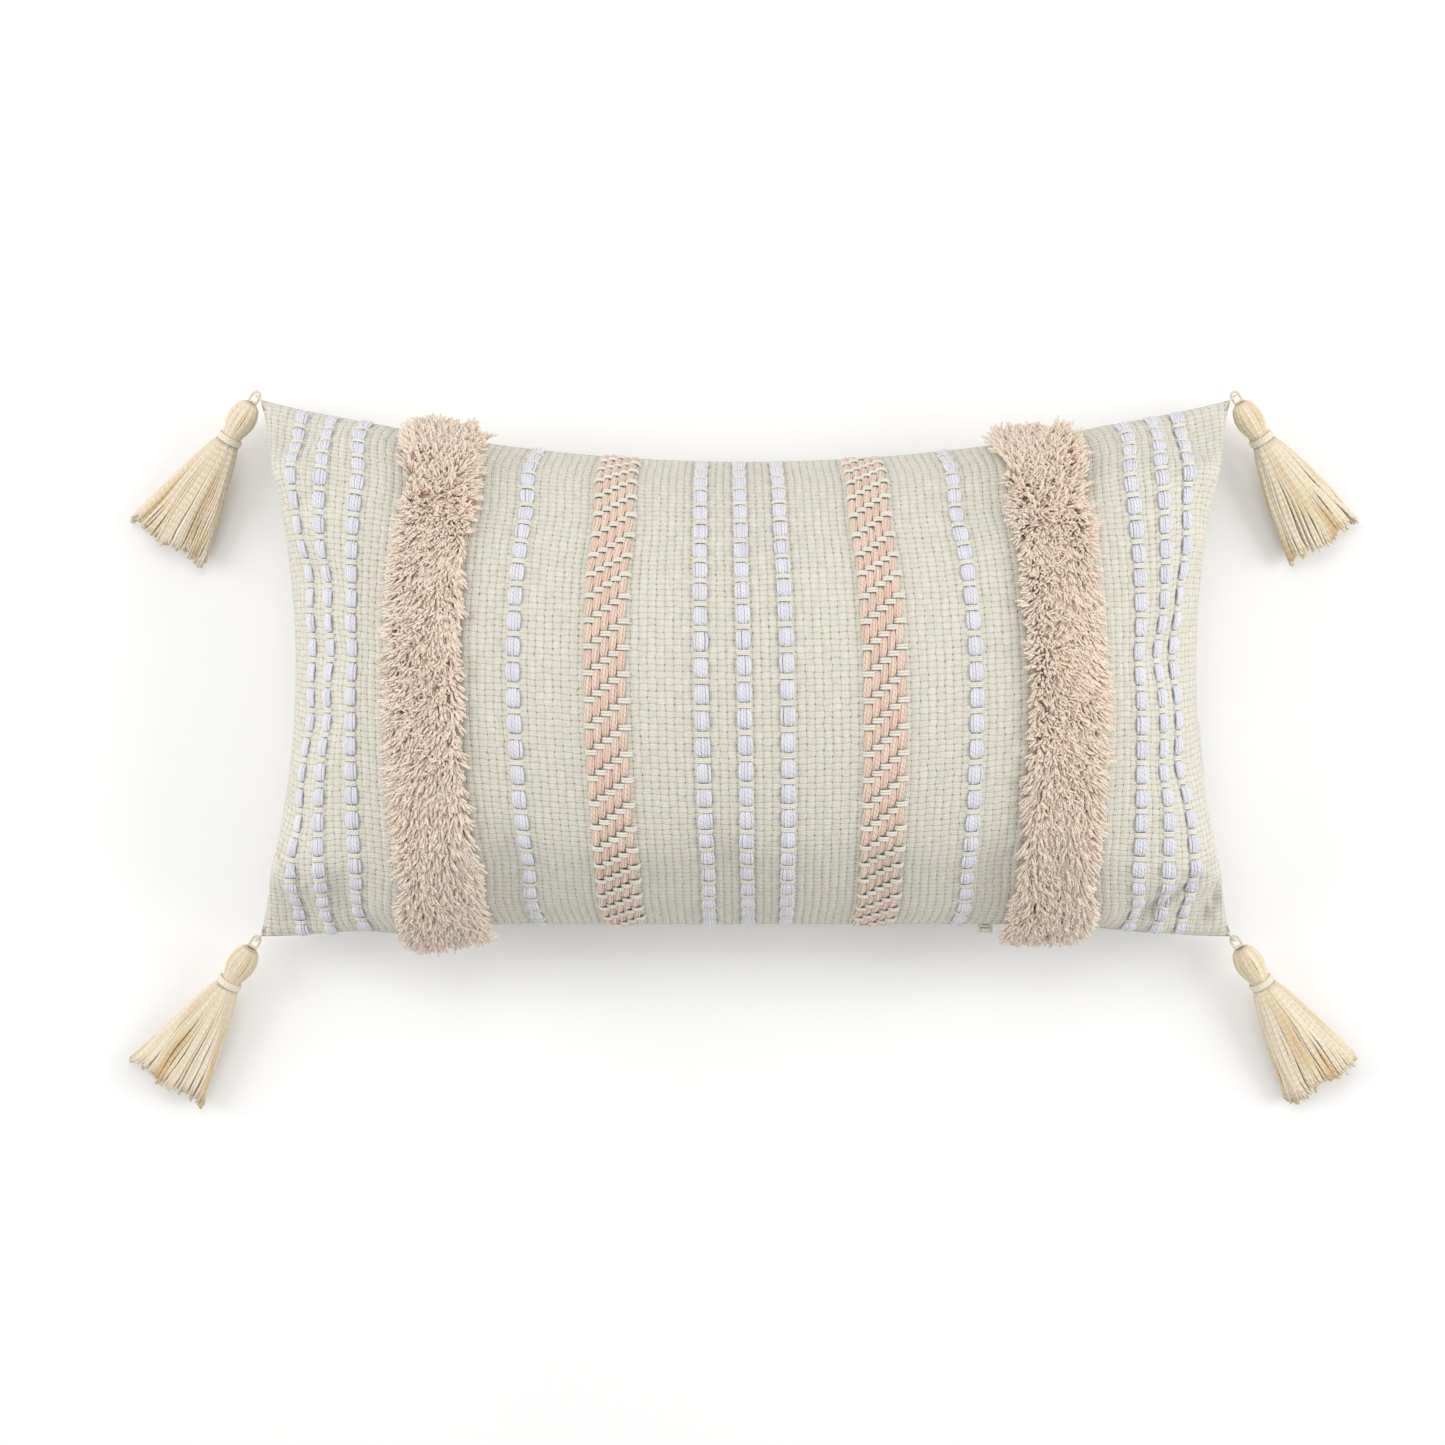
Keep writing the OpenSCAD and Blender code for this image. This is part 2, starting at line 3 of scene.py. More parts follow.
import bmesh
import bpy
import numpy as np
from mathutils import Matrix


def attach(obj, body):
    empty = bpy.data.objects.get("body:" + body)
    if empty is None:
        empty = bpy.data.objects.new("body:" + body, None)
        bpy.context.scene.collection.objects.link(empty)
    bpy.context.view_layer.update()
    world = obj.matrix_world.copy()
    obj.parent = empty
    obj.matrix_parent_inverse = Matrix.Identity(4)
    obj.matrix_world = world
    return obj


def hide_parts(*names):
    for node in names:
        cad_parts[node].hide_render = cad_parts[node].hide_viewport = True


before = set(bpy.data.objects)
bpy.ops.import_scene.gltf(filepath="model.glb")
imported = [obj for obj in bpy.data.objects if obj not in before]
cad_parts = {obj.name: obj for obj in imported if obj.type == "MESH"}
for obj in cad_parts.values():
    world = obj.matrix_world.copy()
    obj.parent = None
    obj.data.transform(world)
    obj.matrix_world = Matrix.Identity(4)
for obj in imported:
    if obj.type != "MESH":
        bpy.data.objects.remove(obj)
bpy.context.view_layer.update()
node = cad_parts
mm = 0.001

# ---------- table, camera and light ----------
# The pillow lies on its back on a plain white table, seen from straight above.
# Two wide soft boxes at the left and right and a softer one overhead light it.

camera_height, camera_lens = 1.6, 77.2
camera_data = bpy.data.cameras.new("camera")
camera_data.sensor_width = 36
camera_data.lens = camera_lens
camera = bpy.data.objects.new("camera", camera_data)
camera.location = (-11.75 * mm, -17.35 * mm, camera_height)
bpy.context.collection.objects.link(camera)
bpy.context.scene.camera = camera
bpy.context.scene.view_settings.view_transform = "Standard"


def soft_box(name, place, aim, width, height, watts, colour=(1, 1, 1)):
    """A rectangular soft box at a place, turned towards a point."""
    data = bpy.data.lights.new(name, "AREA")
    data.shape = "RECTANGLE"
    data.size, data.size_y = width, height
    data.energy = watts
    data.color = colour
    box = bpy.data.objects.new(name, data)
    box.location = place
    from_to = np.array(aim, float) - np.array(place, float)
    flat = math.hypot(from_to[0], from_to[1])
    box.rotation_euler = (
        math.atan2(flat, -from_to[2]), 0, math.atan2(from_to[1], from_to[0]) - math.pi / 2
    )
    bpy.context.collection.objects.link(box)


soft_box("soft_box_left", (-1.5, 0.3, 0.9), (0, 0, 0.05), 1.0, 1.2, 12.5, (1, 0.99, 0.97))
soft_box("soft_box_right", (1.5, 0.1, 0.9), (0, 0, 0.05), 1.0, 1.2, 14.5, (1, 0.99, 0.97))
soft_box("soft_box_top", (-0.2, 0.9, 1.9), (0, 0, 0), 1.4, 0.9, 9.0)

world = bpy.data.worlds.new("studio")
bpy.context.scene.world = world
world.use_nodes = True
world.node_tree.nodes["Background"].inputs["Color"].default_value = (1, 1, 1, 1)
world.node_tree.nodes["Background"].inputs["Strength"].default_value = 0.6


class Shader:
    """One material's nodes: each call adds a node and gives back its main output."""

    def __init__(self, name, roughness, sheen=0.0, specular=0.3):
        self.material = bpy.data.materials.new(name)
        self.material.use_nodes = True
        self.tree = self.material.node_tree
        self.body = self.tree.nodes["Principled BSDF"]
        self.body.inputs["Roughness"].default_value = roughness
        self.body.inputs["Sheen Weight"].default_value = sheen
        self.body.inputs["Sheen Roughness"].default_value = 0.5
        self.body.inputs["Specular IOR Level"].default_value = specular

    def node(self, kind, **settings):
        made = self.tree.nodes.new(kind)
        for key, value in settings.items():
            setattr(made, key, value)
        return made

    def feed(self, socket, value):
        if isinstance(value, bpy.types.NodeSocket):
            self.tree.links.new(value, socket)
        else:
            socket.default_value = value

    def sum(self, operation, first, second=0.0, clamp=False):
        made = self.node("ShaderNodeMath", operation=operation, use_clamp=clamp)
        self.feed(made.inputs[0], first)
        self.feed(made.inputs[1], second)
        return made.outputs[0]

    def mix(self, share, first, second, way="MIX"):
        made = self.node("ShaderNodeMix", data_type="RGBA", blend_type=way)
        self.feed(made.inputs["Factor"], share)
        self.feed(made.inputs[6], (*first, 1) if isinstance(first, tuple) else first)
        self.feed(made.inputs[7], (*second, 1) if isinstance(second, tuple) else second)
        return made.outputs[2]

    def own(self, name):
        """A number that the mesh carries at each point."""
        return self.node("ShaderNodeAttribute", attribute_name=name).outputs["Fac"]

    def threads(self):
        """Where a point lies: in weave units on the cloth, or along and round a yarn."""
        made = self.node("ShaderNodeSeparateXYZ")
        self.feed(made.inputs[0], self.node("ShaderNodeUVMap", uv_map="cloth").outputs[0])
        return made.outputs[0], made.outputs[1]

    def place(self, stretch=(1, 1, 1)):
        """Object coordinates, stretched."""
        made = self.node("ShaderNodeMapping")
        self.feed(made.inputs[0], self.node("ShaderNodeTexCoord").outputs["Object"])
        made.inputs["Scale"].default_value = stretch
        return made.outputs[0]

    def noise(self, where, scale, detail=2.0, roughness=0.5):
        made = self.node("ShaderNodeTexNoise")
        self.feed(made.inputs["Vector"], where)
        made.inputs["Scale"].default_value = scale
        made.inputs["Detail"].default_value = detail
        made.inputs["Roughness"].default_value = roughness
        return made.outputs[0]

    def step(self, value, low, high, to_low=0.0, to_high=1.0):
        made = self.node("ShaderNodeMapRange", interpolation_type="SMOOTHSTEP")
        for socket, given in zip(made.inputs, (value, low, high, to_low, to_high)):
            self.feed(socket, given)
        return made.outputs[0]

    def finish(self, colour, height=None, depth=1.0, strength=1.0):
        self.feed(self.body.inputs["Base Color"], colour)
        if height is not None:
            bump = self.node("ShaderNodeBump")
            bump.inputs["Distance"].default_value = depth
            bump.inputs["Strength"].default_value = strength
            self.feed(bump.inputs["Height"], height)
            self.feed(self.body.inputs["Normal"], bump.outputs[0])
        return self.material


def table_finish():
    """Plain matt white, with a trace of mottle."""
    s = Shader("table_white", 0.9, specular=0.1)
    mottle = s.noise(s.place(), 6)
    return s.finish(s.mix(mottle, (0.92, 0.92, 0.92), (0.95, 0.95, 0.95)))


table = bmesh.new()
bmesh.ops.create_grid(table, x_segments=1, y_segments=1, size=4)
bmesh.ops.translate(table, vec=(0, 0, -0.2 * mm), verts=table.verts)
table_mesh = bpy.data.meshes.new("table")
table.to_mesh(table_mesh)
table.free()
table_mesh.materials.append(table_finish())
table_top = bpy.data.objects.new("table", table_mesh)
bpy.context.collection.objects.link(table_top)


# ---------- pillow cover ----------
# A heavy woven front and a plain back of cotton, sewn round the edge and stuffed. The cloth is
# laid on a grid of flat cloth positions, swollen by a cloth simulation and given its relief.

half_length, half_height = 247 * mm, 136.5 * mm
seam_height, corner_droop = 50 * mm, 28 * mm
front_crown, back_bulge = 80 * mm, 60 * mm
side_pull, top_pull, bottom_pull = 22 * mm, 34 * mm, 8 * mm
middle_y = 10.4 * mm
front_wall, back_wall = 2 * mm, 1 * mm
seam_gap = 1.8 * mm
# Where the bottom edge stops being straight, and where the corners start to droop, as shares
straight_share, droop_share = 0.607, 0.7
slack_x, slack_width, slack_depth = -162 * mm, 20 * mm, 4.5 * mm
largest_swell, smoothing_passes = 5 * mm, 5


def ease(t, a, b):
    k = np.clip((t - a) / (b - a), 0, 1)
    return k * k * (3 - 2 * k)


def cover_point(p, q, front):
    """The pillow's outline and crown, at angles p round its length and q round its height."""
    u, v = np.sin(p), np.sin(q)
    x = u * (half_length - side_pull * (1 - v * v))
    top = half_height - top_pull * (1 - u * u)
    slack = slack_depth * np.exp(-(((x - slack_x) / slack_width) ** 2))
    bottom = -half_height + bottom_pull * (1 - ease(abs(u), straight_share, 1)) - slack
    y = middle_y + (top * (1 + v) + bottom * (1 - v)) / 2
    droop = ease(abs(u), droop_share, 1) * ease(abs(v), droop_share, 1)
    rim = seam_height - corner_droop * droop
    bulge = np.cos(p) * np.cos(q)
    raised = rim + seam_gap / 2 + front_crown * bulge
    z = raised if front else np.maximum(0, rim - seam_gap / 2 - back_bulge * bulge)
    return np.stack(np.broadcast_arrays(x, y, z), axis=-1)


def evened(lines, count):
    """The same lines with their points moved to even steps of length, and that many steps."""
    run = np.linalg.norm(np.diff(lines, axis=1), axis=2).cumsum(axis=1)
    share = np.concatenate([np.zeros((len(lines), 1)), run], axis=1) / run[:, -1:]
    wanted = np.linspace(0, 1, count + 1)
    return np.stack([
        np.stack([np.interp(wanted, s, line[:, k]) for k in range(3)], axis=-1)
        for s, line in zip(share, lines)
    ])


def flat_cloth(front, across, up):
    """A grid over one panel at even steps of the cloth, rows from the bottom edge."""
    angle = np.radians(np.linspace(-90, 90, 241))
    rows = evened(cover_point(angle[None, :], angle[:, None], front), across)
    return evened(rows.transpose(1, 0, 2), up).transpose(1, 0, 2)


# The top and bottom seams draw the stripes towards the middle, and the cloth leans a little
top_gather, bottom_gather, cloth_lean = 0.11, 0.07, 0.009


def gathered(a, b):
    """Where a thread at share a of the cloth's width lies in the row at share b."""
    v = np.sin(b * math.pi / 2)
    gather = np.where(v > 0, top_gather, bottom_gather) * v * v
    return (a - gather * a * (1 - a * a)) - (cloth_lean * v + 0.005) * (1 - a * a)


def taps(share, count):
    """Grid steps and smooth weights for positions from -1 to 1 over a row of points."""
    at = (np.clip(share, -1, 1) + 1) / 2 * (count - 1)
    first = np.clip(np.floor(at), 0, count - 2).astype(int)
    f = at - first
    weights = np.stack([
        (-f + 2 * f**2 - f**3) / 2,
        (2 - 5 * f**2 + 3 * f**3) / 2,
        (f + 4 * f**2 - 3 * f**3) / 2,
        (f**3 - f**2) / 2,
    ])
    return first, weights


def on_cloth(panel, a, b):
    """Smooth positions on a panel's grid: a runs from -1 at the left edge, b from the bottom."""
    edged = np.pad(panel, ((1, 1), (1, 1), (0, 0)))
    edged[0], edged[-1] = 2 * edged[1] - edged[2], 2 * edged[-2] - edged[-3]
    edged[:, 0], edged[:, -1] = 2 * edged[:, 1] - edged[:, 2], 2 * edged[:, -2] - edged[:, -3]
    column, wide = taps(a, panel.shape[1])
    row, tall = taps(b, panel.shape[0])
    found = 0
    for j in range(4):
        for i in range(4):
            found = found + (tall[j] * wide[i])[..., None] * edged[row + j, column + i]
    return found


def lengths(v):
    return np.linalg.norm(v, axis=-1, keepdims=True)


def cloth_frame(panel, a, b):
    """Position, the directions across and up the cloth, and the outward normal."""
    a, b = np.broadcast_arrays(np.asarray(a, float), np.asarray(b, float))
    d = 0.006
    a = gathered(a, b)
    a_in, b_in = np.clip(a, -1 + d, 1 - d), np.clip(b, -1 + d, 1 - d)
    across = on_cloth(panel, a_in + d, b_in) - on_cloth(panel, a_in - d, b_in)
    up = on_cloth(panel, a_in, b_in + d) - on_cloth(panel, a_in, b_in - d)
    across, up = across / lengths(across), up / lengths(up)
    out = np.cross(across, up)
    return on_cloth(panel, a, b), across, up, out / lengths(out)


def swell(front, back, cap):
    """Fills the sewn cover with air, its seam held, and lets no point move further than cap."""
    up, across = front.shape[0] - 1, front.shape[1] - 1
    shell = bmesh.new()
    places = []
    for panel, turn in ((front, False), (back, True)):
        made = bmesh.ops.create_grid(shell, x_segments=across, y_segments=up, size=1)["verts"]
        for vert in made:
            i, j = round((vert.co.x + 1) / 2 * across), round((vert.co.y + 1) / 2 * up)
            places.append((j, i, turn))
            vert.co = panel[j, i]
        if turn:
            faces = list({face for vert in made for face in vert.link_faces})
            bmesh.ops.reverse_faces(shell, faces=faces)
    edge = {(j, i) for j, i, turn in places if j in (0, up) or i in (0, across)}
    start = np.array([v.co for v in shell.verts])
    sewn = {}
    for vert, (j, i, turn) in zip(shell.verts, places):
        if (j, i) in edge:
            sewn.setdefault((j, i), []).append(vert)
    bmesh.ops.weld_verts(shell, targetmap={upper: lower for lower, upper in sewn.values()})
    mesh = bpy.data.meshes.new("swelling")
    kept = [k for k, (j, i, turn) in enumerate(places) if not (turn and (j, i) in edge)]
    shell.to_mesh(mesh)
    shell.free()
    piece = bpy.data.objects.new("swelling", mesh)
    bpy.context.collection.objects.link(piece)
    held = piece.vertex_groups.new(name="seam")
    held.add([n for n, k in enumerate(kept) if places[k][:2] in edge], 1, "REPLACE")
    cloth = piece.modifiers.new("Cloth", "CLOTH")
    cloth.settings.quality = 6
    cloth.settings.mass = 0.4
    cloth.settings.tension_stiffness = 30
    cloth.settings.compression_stiffness = 30
    cloth.settings.bending_stiffness = 2
    cloth.settings.shrink_min = -0.035
    cloth.settings.vertex_group_mass = "seam"
    cloth.settings.use_pressure = True
    cloth.settings.uniform_pressure_force = 4
    cloth.settings.effector_weights.gravity = 0
    cloth.point_cache.frame_start, cloth.point_cache.frame_end = 1, 20
    for step in range(1, 21):
        bpy.context.scene.frame_set(step)
    settled = piece.evaluated_get(bpy.context.evaluated_depsgraph_get()).to_mesh()
    moved = np.empty(len(settled.vertices) * 3)
    settled.vertices.foreach_get("co", moved)
    bpy.context.scene.frame_set(1)
    bpy.data.objects.remove(piece)
    shift = np.zeros((2, up + 1, across + 1, 3))
    for k, point in zip(kept, moved.reshape(-1, 3)):
        j, i, turn = places[k]
        shift[int(turn), j, i] = point - start[k]
    shift *= np.minimum(1, cap / np.maximum(lengths(shift), 1e-9))
    # The stiff cloth eases its sharpest wrinkles out, most of all beside the seam
    for _ in range(smoothing_passes):
        inner = shift[:, 1:-1, 1:-1]
        around = (
            shift[:, :-2, 1:-1] + shift[:, 2:, 1:-1] + shift[:, 1:-1, :-2] + shift[:, 1:-1, 2:]
        )
        shift[:, 1:-1, 1:-1] = (inner + around / 4) / 2
    swollen = np.stack([front, back]) + shift
    swollen[1, ..., 2] = np.maximum(swollen[1, ..., 2], 0)
    return swollen


front_panel, back_panel = flat_cloth(True, 84, 56), flat_cloth(False, 84, 56)
front_panel, back_panel = swell(front_panel, back_panel, largest_swell)

# Creases where the slack corners fold: place and heading on the plan, half length, half width
# and depth in millimetres. A negative depth is a ridge.
corner_creases = [
    (216, -99, 32, 28, 4.0, 9.0), (221, -90, 28, 24, 4.5, -4.0), (206, -110, 34, 26, 4.5, -4.0),
    (233, -108, 58, 16, 3.5, 5.0), (-224, -90, 128, 24, 4.5, 9.0), (-214, -104, 140, 24, 4.5, -4.5),
    (-232, -78, 128, 20, 5.0, -3.0), (-206, 96, 28, 22, 6.0, 2.6), (208, 104, 150, 24, 6.0, 2.6),
    (-120, -96, 86, 26, 16.0, 1.6), (70, -92, 94, 26, 18.0, 1.4), (150, 70, 80, 30, 18.0, 1.4),
]


def creased(panel, creases):
    """The panel with its folds pressed in, upright, and none at the seam itself."""
    x, y = panel[..., 0] / mm, panel[..., 1] / mm
    depth = np.zeros(x.shape)
    for at_x, at_y, heading, length, width, deep in creases:
        c, s = math.cos(math.radians(heading)), math.sin(math.radians(heading))
        along = ((x - at_x) * c + (y - at_y) * s) / length
        across = ((y - at_y) * c - (x - at_x) * s) / width
        depth += deep * np.exp(-along**2 - across**2)
    rows, columns = x.shape
    a, b = np.linspace(-1, 1, columns), np.linspace(-1, 1, rows)[:, None]
    held = ease(1 - abs(a), 0, 0.05) * ease(1 - abs(b), 0, 0.07)
    folded = panel.copy()
    folded[..., 2] -= depth * held * mm
    return folded


front_panel = creased(front_panel, corner_creases)

# The weave is laid out in units of its own, this many from the cloth's middle to its edges. The
# sewn cloth is about 508 by 308 mm, so a unit is 0.92 mm across the cloth and 0.96 mm up it.
weave_x, weave_y = 277.0, 160.0
rib, pick = 4.5, 3.2
rib_height, rib_seat, crossing_low, crossing_high = 0.4, 0.35, 0.1, 0.2


def front_relief(x, y):
    """Height of the ground weave in millimetres: rounded ribs, with every other crossing high."""
    column, row = np.floor(x / rib), np.floor(y / pick)
    odd = (column + row) % 2
    rib_round = np.sqrt(np.clip(1 - (2 * (x / rib - column) - 1) ** 2, 0, 1))
    pick_round = np.sin(math.pi * (y / pick - row))
    crossing = (crossing_high * odd + crossing_low) * pick_round
    return rib_height * rib_round - rib_seat + crossing * rib_round


def mesh_piece(name, mesh, material, rides="pillow"):
    """A smooth-shaded piece from a mesh, on the body that it moves with."""
    mesh.materials.append(material)
    mesh.polygons.foreach_set("use_smooth", np.ones(len(mesh.polygons), bool))
    piece = bpy.data.objects.new(name, mesh)
    bpy.context.collection.objects.link(piece)
    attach(piece, rides)
    return piece


def carry(mesh, name, values):
    """Gives each point of a mesh a number that its material can read."""
    layer = mesh.attributes.get(name) or mesh.attributes.new(name, "FLOAT", "POINT")
    layer.data.foreach_set("value", np.ascontiguousarray(values, np.float32))


lining_cells, lining_share = (44, 30), 0.985


def cover_shell(name, panel, cells, wall, relief, face_out):
    """One panel as a closed shell: its woven face, a plain inside and the turned edge."""
    shell = bmesh.new()
    grids = [
        bmesh.ops.create_grid(shell, x_segments=across, y_segments=up, size=1)["verts"]
        for across, up in (cells, lining_cells)
    ]
    loops = [
        [e for e in {e for v in grid for e in v.link_edges} if e.is_boundary] for grid in grids
    ]
    inner = {f for v in grids[1] for f in v.link_faces}
    bmesh.ops.reverse_faces(shell, faces=list(inner))
    bmesh.ops.bridge_loops(shell, edges=loops[0] + loops[1])
    shell.verts.index_update()
    count = len(grids[0])
    mesh = bpy.data.meshes.new(name)
    shell.to_mesh(mesh)
    shell.free()
    flat = np.empty(len(mesh.vertices) * 3)
    mesh.vertices.foreach_get("co", flat)
    a, b = flat.reshape(-1, 3)[:, 0], flat.reshape(-1, 3)[:, 1]
    is_face = np.arange(len(a)) < count
    inset = np.where(is_face, 1, lining_share)
    place, across, up, out = cloth_frame(panel, a * inset, b * inset)
    x, y = a * weave_x, b * weave_y
    # The relief fades out beside the seam
    hold = ease(1 - abs(a), 0, 0.008) * ease(1 - abs(b), 0, 0.014)
    side = 1 if face_out else -1
    height = relief(x, y) if relief else 0 * x
    shift = np.where(is_face, height * hold * mm, -wall)
    place = place + out * (side * shift)[:, None]
    if not face_out:
        place[:, 2] = np.maximum(place[:, 2], np.where(is_face, 0, wall))
        mesh.flip_normals()
    mesh.vertices.foreach_set("co", place.ravel())
    corner = np.empty(len(mesh.loops), np.int32)
    mesh.loops.foreach_get("vertex_index", corner)
    laid = mesh.uv_layers.new(name="cloth")
    laid.data.foreach_set("uv", np.stack([x, y], axis=1)[corner].astype(np.float32).ravel())
    mesh.update()
    return mesh


def ground_weave_finish():
    """Undyed cotton: grooves between the ribs and pinholes at the crossings, darkened with painted
    shade, threads and slubs.
    """
    s = Shader("ground_weave_cotton", 0.88, sheen=0.2, specular=0.2)
    cloth = s.node("ShaderNodeUVMap", uv_map="cloth").outputs[0]
    x, y = s.threads()
    x = s.sum("ADD", x, s.step(s.noise(cloth, 0.22, 2), 0.25, 0.75, -0.5, 0.5))
    y = s.sum("ADD", y, s.step(s.noise(cloth, 0.18, 2), 0.25, 0.75, 0.5, -0.5))
    across, up = s.sum("MULTIPLY", x, 1 / rib), s.sum("MULTIPLY", y, 1 / pick)
    column, row = s.sum("FLOOR", across), s.sum("FLOOR", up)
    from_rib = s.sum("ABSOLUTE", s.sum("SUBTRACT", s.sum("FRACT", across), 0.5))
    from_pick = s.sum("ABSOLUTE", s.sum("SUBTRACT", s.sum("FRACT", up), 0.5))
    over = s.sum("ABSOLUTE", s.sum("MODULO", s.sum("ADD", column, row), 2))
    groove, course = s.step(from_rib, 0.34, 0.5), s.step(from_pick, 0.3, 0.5)
    crossing = s.node("ShaderNodeCombineXYZ")
    s.feed(crossing.inputs[0], s.sum("ROUND", across))
    s.feed(crossing.inputs[1], s.sum("ROUND", up))
    chance_here = s.node("ShaderNodeTexWhiteNoise", noise_dimensions="3D")
    s.feed(chance_here.inputs["Vector"], crossing.outputs[0])
    loose = s.step(chance_here.outputs["Value"], 0.1, 0.9, 0.25, 1.0)
    pinhole = s.sum("MULTIPLY", s.step(from_rib, 0.41, 0.5), s.step(from_pick, 0.22, 0.46))
    pinhole = s.sum("MULTIPLY", pinhole, loose)
    warp = s.sum("SINE", s.sum("MULTIPLY", x, 2 * math.pi * 4 / rib))
    weft = s.sum("SINE", s.sum("MULTIPLY", y, 2 * math.pi * 2 / pick))

    def slub(stretch, scale, low, high, share):
        laid = s.node("ShaderNodeMapping")
        s.feed(laid.inputs[0], cloth)
        laid.inputs["Scale"].default_value = (*stretch, 1)
        return s.step(s.noise(laid.outputs[0], scale, 1), low, high, 0.0, share)

    fibre = s.noise(cloth, 2.2, 3, 0.6)
    colour = s.mix(slub((0.9, 0.16), 0.5, 0.4, 0.65, 1.0), (0.66, 0.635, 0.55), (0.72, 0.70, 0.62))
    colour = s.mix(slub((0.22, 0.7), 0.6, 0.5, 0.7, 0.6), colour, (0.75, 0.63, 0.54))
    colour = s.mix(slub((0.6, 0.12), 0.4, 0.48, 0.7, 0.5), colour, (0.65, 0.67, 0.53))
    colour = s.mix(s.step(fibre, 0.35, 0.7, 0.0, 0.3), colour, (0.80, 0.78, 0.70))
    # Painted shade: the grooves between the ribs and the courses between the picks are darkened
    colour = s.mix(s.sum("MULTIPLY", groove, 0.27), colour, (0.58, 0.53, 0.42), "MULTIPLY")
    colour = s.mix(s.sum("MULTIPLY", course, 0.3), colour, (0.58, 0.53, 0.42), "MULTIPLY")
    # Painted shade: the pinholes at the crossings are darkened most of all
    colour = s.mix(s.sum("MULTIPLY", pinhole, 0.85), colour, (0.30, 0.25, 0.17), "MULTIPLY")
    fine = s.mix(over, weft, warp)
    relief = s.sum("ADD", s.sum("MULTIPLY", fine, 0.30), s.sum("MULTIPLY", fibre, 0.6))
    relief = s.sum("SUBTRACT", relief, s.sum("MULTIPLY", groove, 0.5))
    relief = s.sum("SUBTRACT", relief, s.sum("MULTIPLY", course, 0.5))
    relief = s.sum("SUBTRACT", relief, pinhole)
    return s.finish(colour, relief, 0.3 * mm, 0.8)


def backing_finish():
    """Plain cream cotton cloth with a fine even weave."""
    s = Shader("backing_cotton", 0.9, sheen=0.2, specular=0.2)
    x, y = s.threads()
    warp = s.sum("SINE", s.sum("MULTIPLY", x, 2 * math.pi / 1.1))
    weft = s.sum("SINE", s.sum("MULTIPLY", y, 2 * math.pi / 1.1))
    weave = s.sum("MULTIPLY", warp, weft)
    mottle = s.noise(s.place(), 30, 3)
    colour = s.mix(mottle, (0.74, 0.70, 0.60), (0.82, 0.79, 0.70))
    # Painted shade: the colour darkens in the hollows of the weave, where its relief is low
    colour = s.mix(s.step(weave, -1, 0.2, 0.3, 0.0), colour, (0.55, 0.51, 0.42), "MULTIPLY")
    return s.finish(colour, weave, 0.2 * mm, 0.8)


ground_weave = ground_weave_finish()
backing_cotton = backing_finish()
front_cells, back_cells = ((492, 320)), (132, 88)
front_mesh = cover_shell("front_cover", front_panel, front_cells, front_wall, front_relief, True)
front_cover = mesh_piece("front_cover", front_mesh, ground_weave)
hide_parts("front_panel")

back_mesh = cover_shell("back_cover", back_panel, back_cells, back_wall, None, False)
back_cover = mesh_piece("back_cover", back_mesh, backing_cotton)
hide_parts("back_panel")


# ---------- woven chains ----------
# Eleven chains of soft lilac-white yarn run up the cloth. Each link is a float of five yarns
# side by side, held down between links by three ground threads.

chain_places = {
    "left_outer": -225.5, "left_middle": -209, "left_inner": -190.5, "left_single": -106.8,
    "centre_left": -19.6, "centre": 0, "centre_right": 19.6,
    "right_single": 106.8, "right_inner": 190.5, "right_middle": 205.5, "right_outer": 220,
}
link_count, float_share, float_yarns = 25, 0.79, 5
float_pitch, float_radius, float_bulge = 1.5, 0.84, 0.7
tie_half, tie_step, tie_rise, tie_sunk, tie_radius = 3.9, 0.85, 1.3, 0.3, 0.5
stripe_slope, stripe_margin, shortest_float = 0.055, 0.6, 3


def yarn_shape(sides, rings):
    """A plain length of yarn: its circle, ring numbers, faces, and places along and round it."""
    bm = bmesh.new()
    bmesh.ops.create_cone(
        bm, cap_ends=True, segments=sides, radius1=1, radius2=1, depth=rings - 1
    )
    upright = [e for e in bm.edges if abs(e.verts[0].co.z - e.verts[1].co.z) > 0.5]
    bmesh.ops.subdivide_edges(bm, edges=upright, cuts=rings - 2, use_grid_fill=True)
    bm.verts.index_update()
    circle = np.array([v.co[:2] for v in bm.verts])
    ring = np.array([round(v.co.z + (rings - 1) / 2) for v in bm.verts])
    turn = np.arctan2(circle[:, 1], circle[:, 0]) / (2 * math.pi) % 1
    faces, round_it = [], []
    for face in bm.faces:
        corners = [v.index for v in face.verts]
        turns = turn[corners]
        if turns.max() - turns.min() > 0.5 and len(corners) == 4:
            turns = np.where(turns < 0.5, turns + 1, turns)
        faces.append(corners)
        round_it.extend(turns)
    bm.free()
    return circle, ring, faces, np.array(round_it)


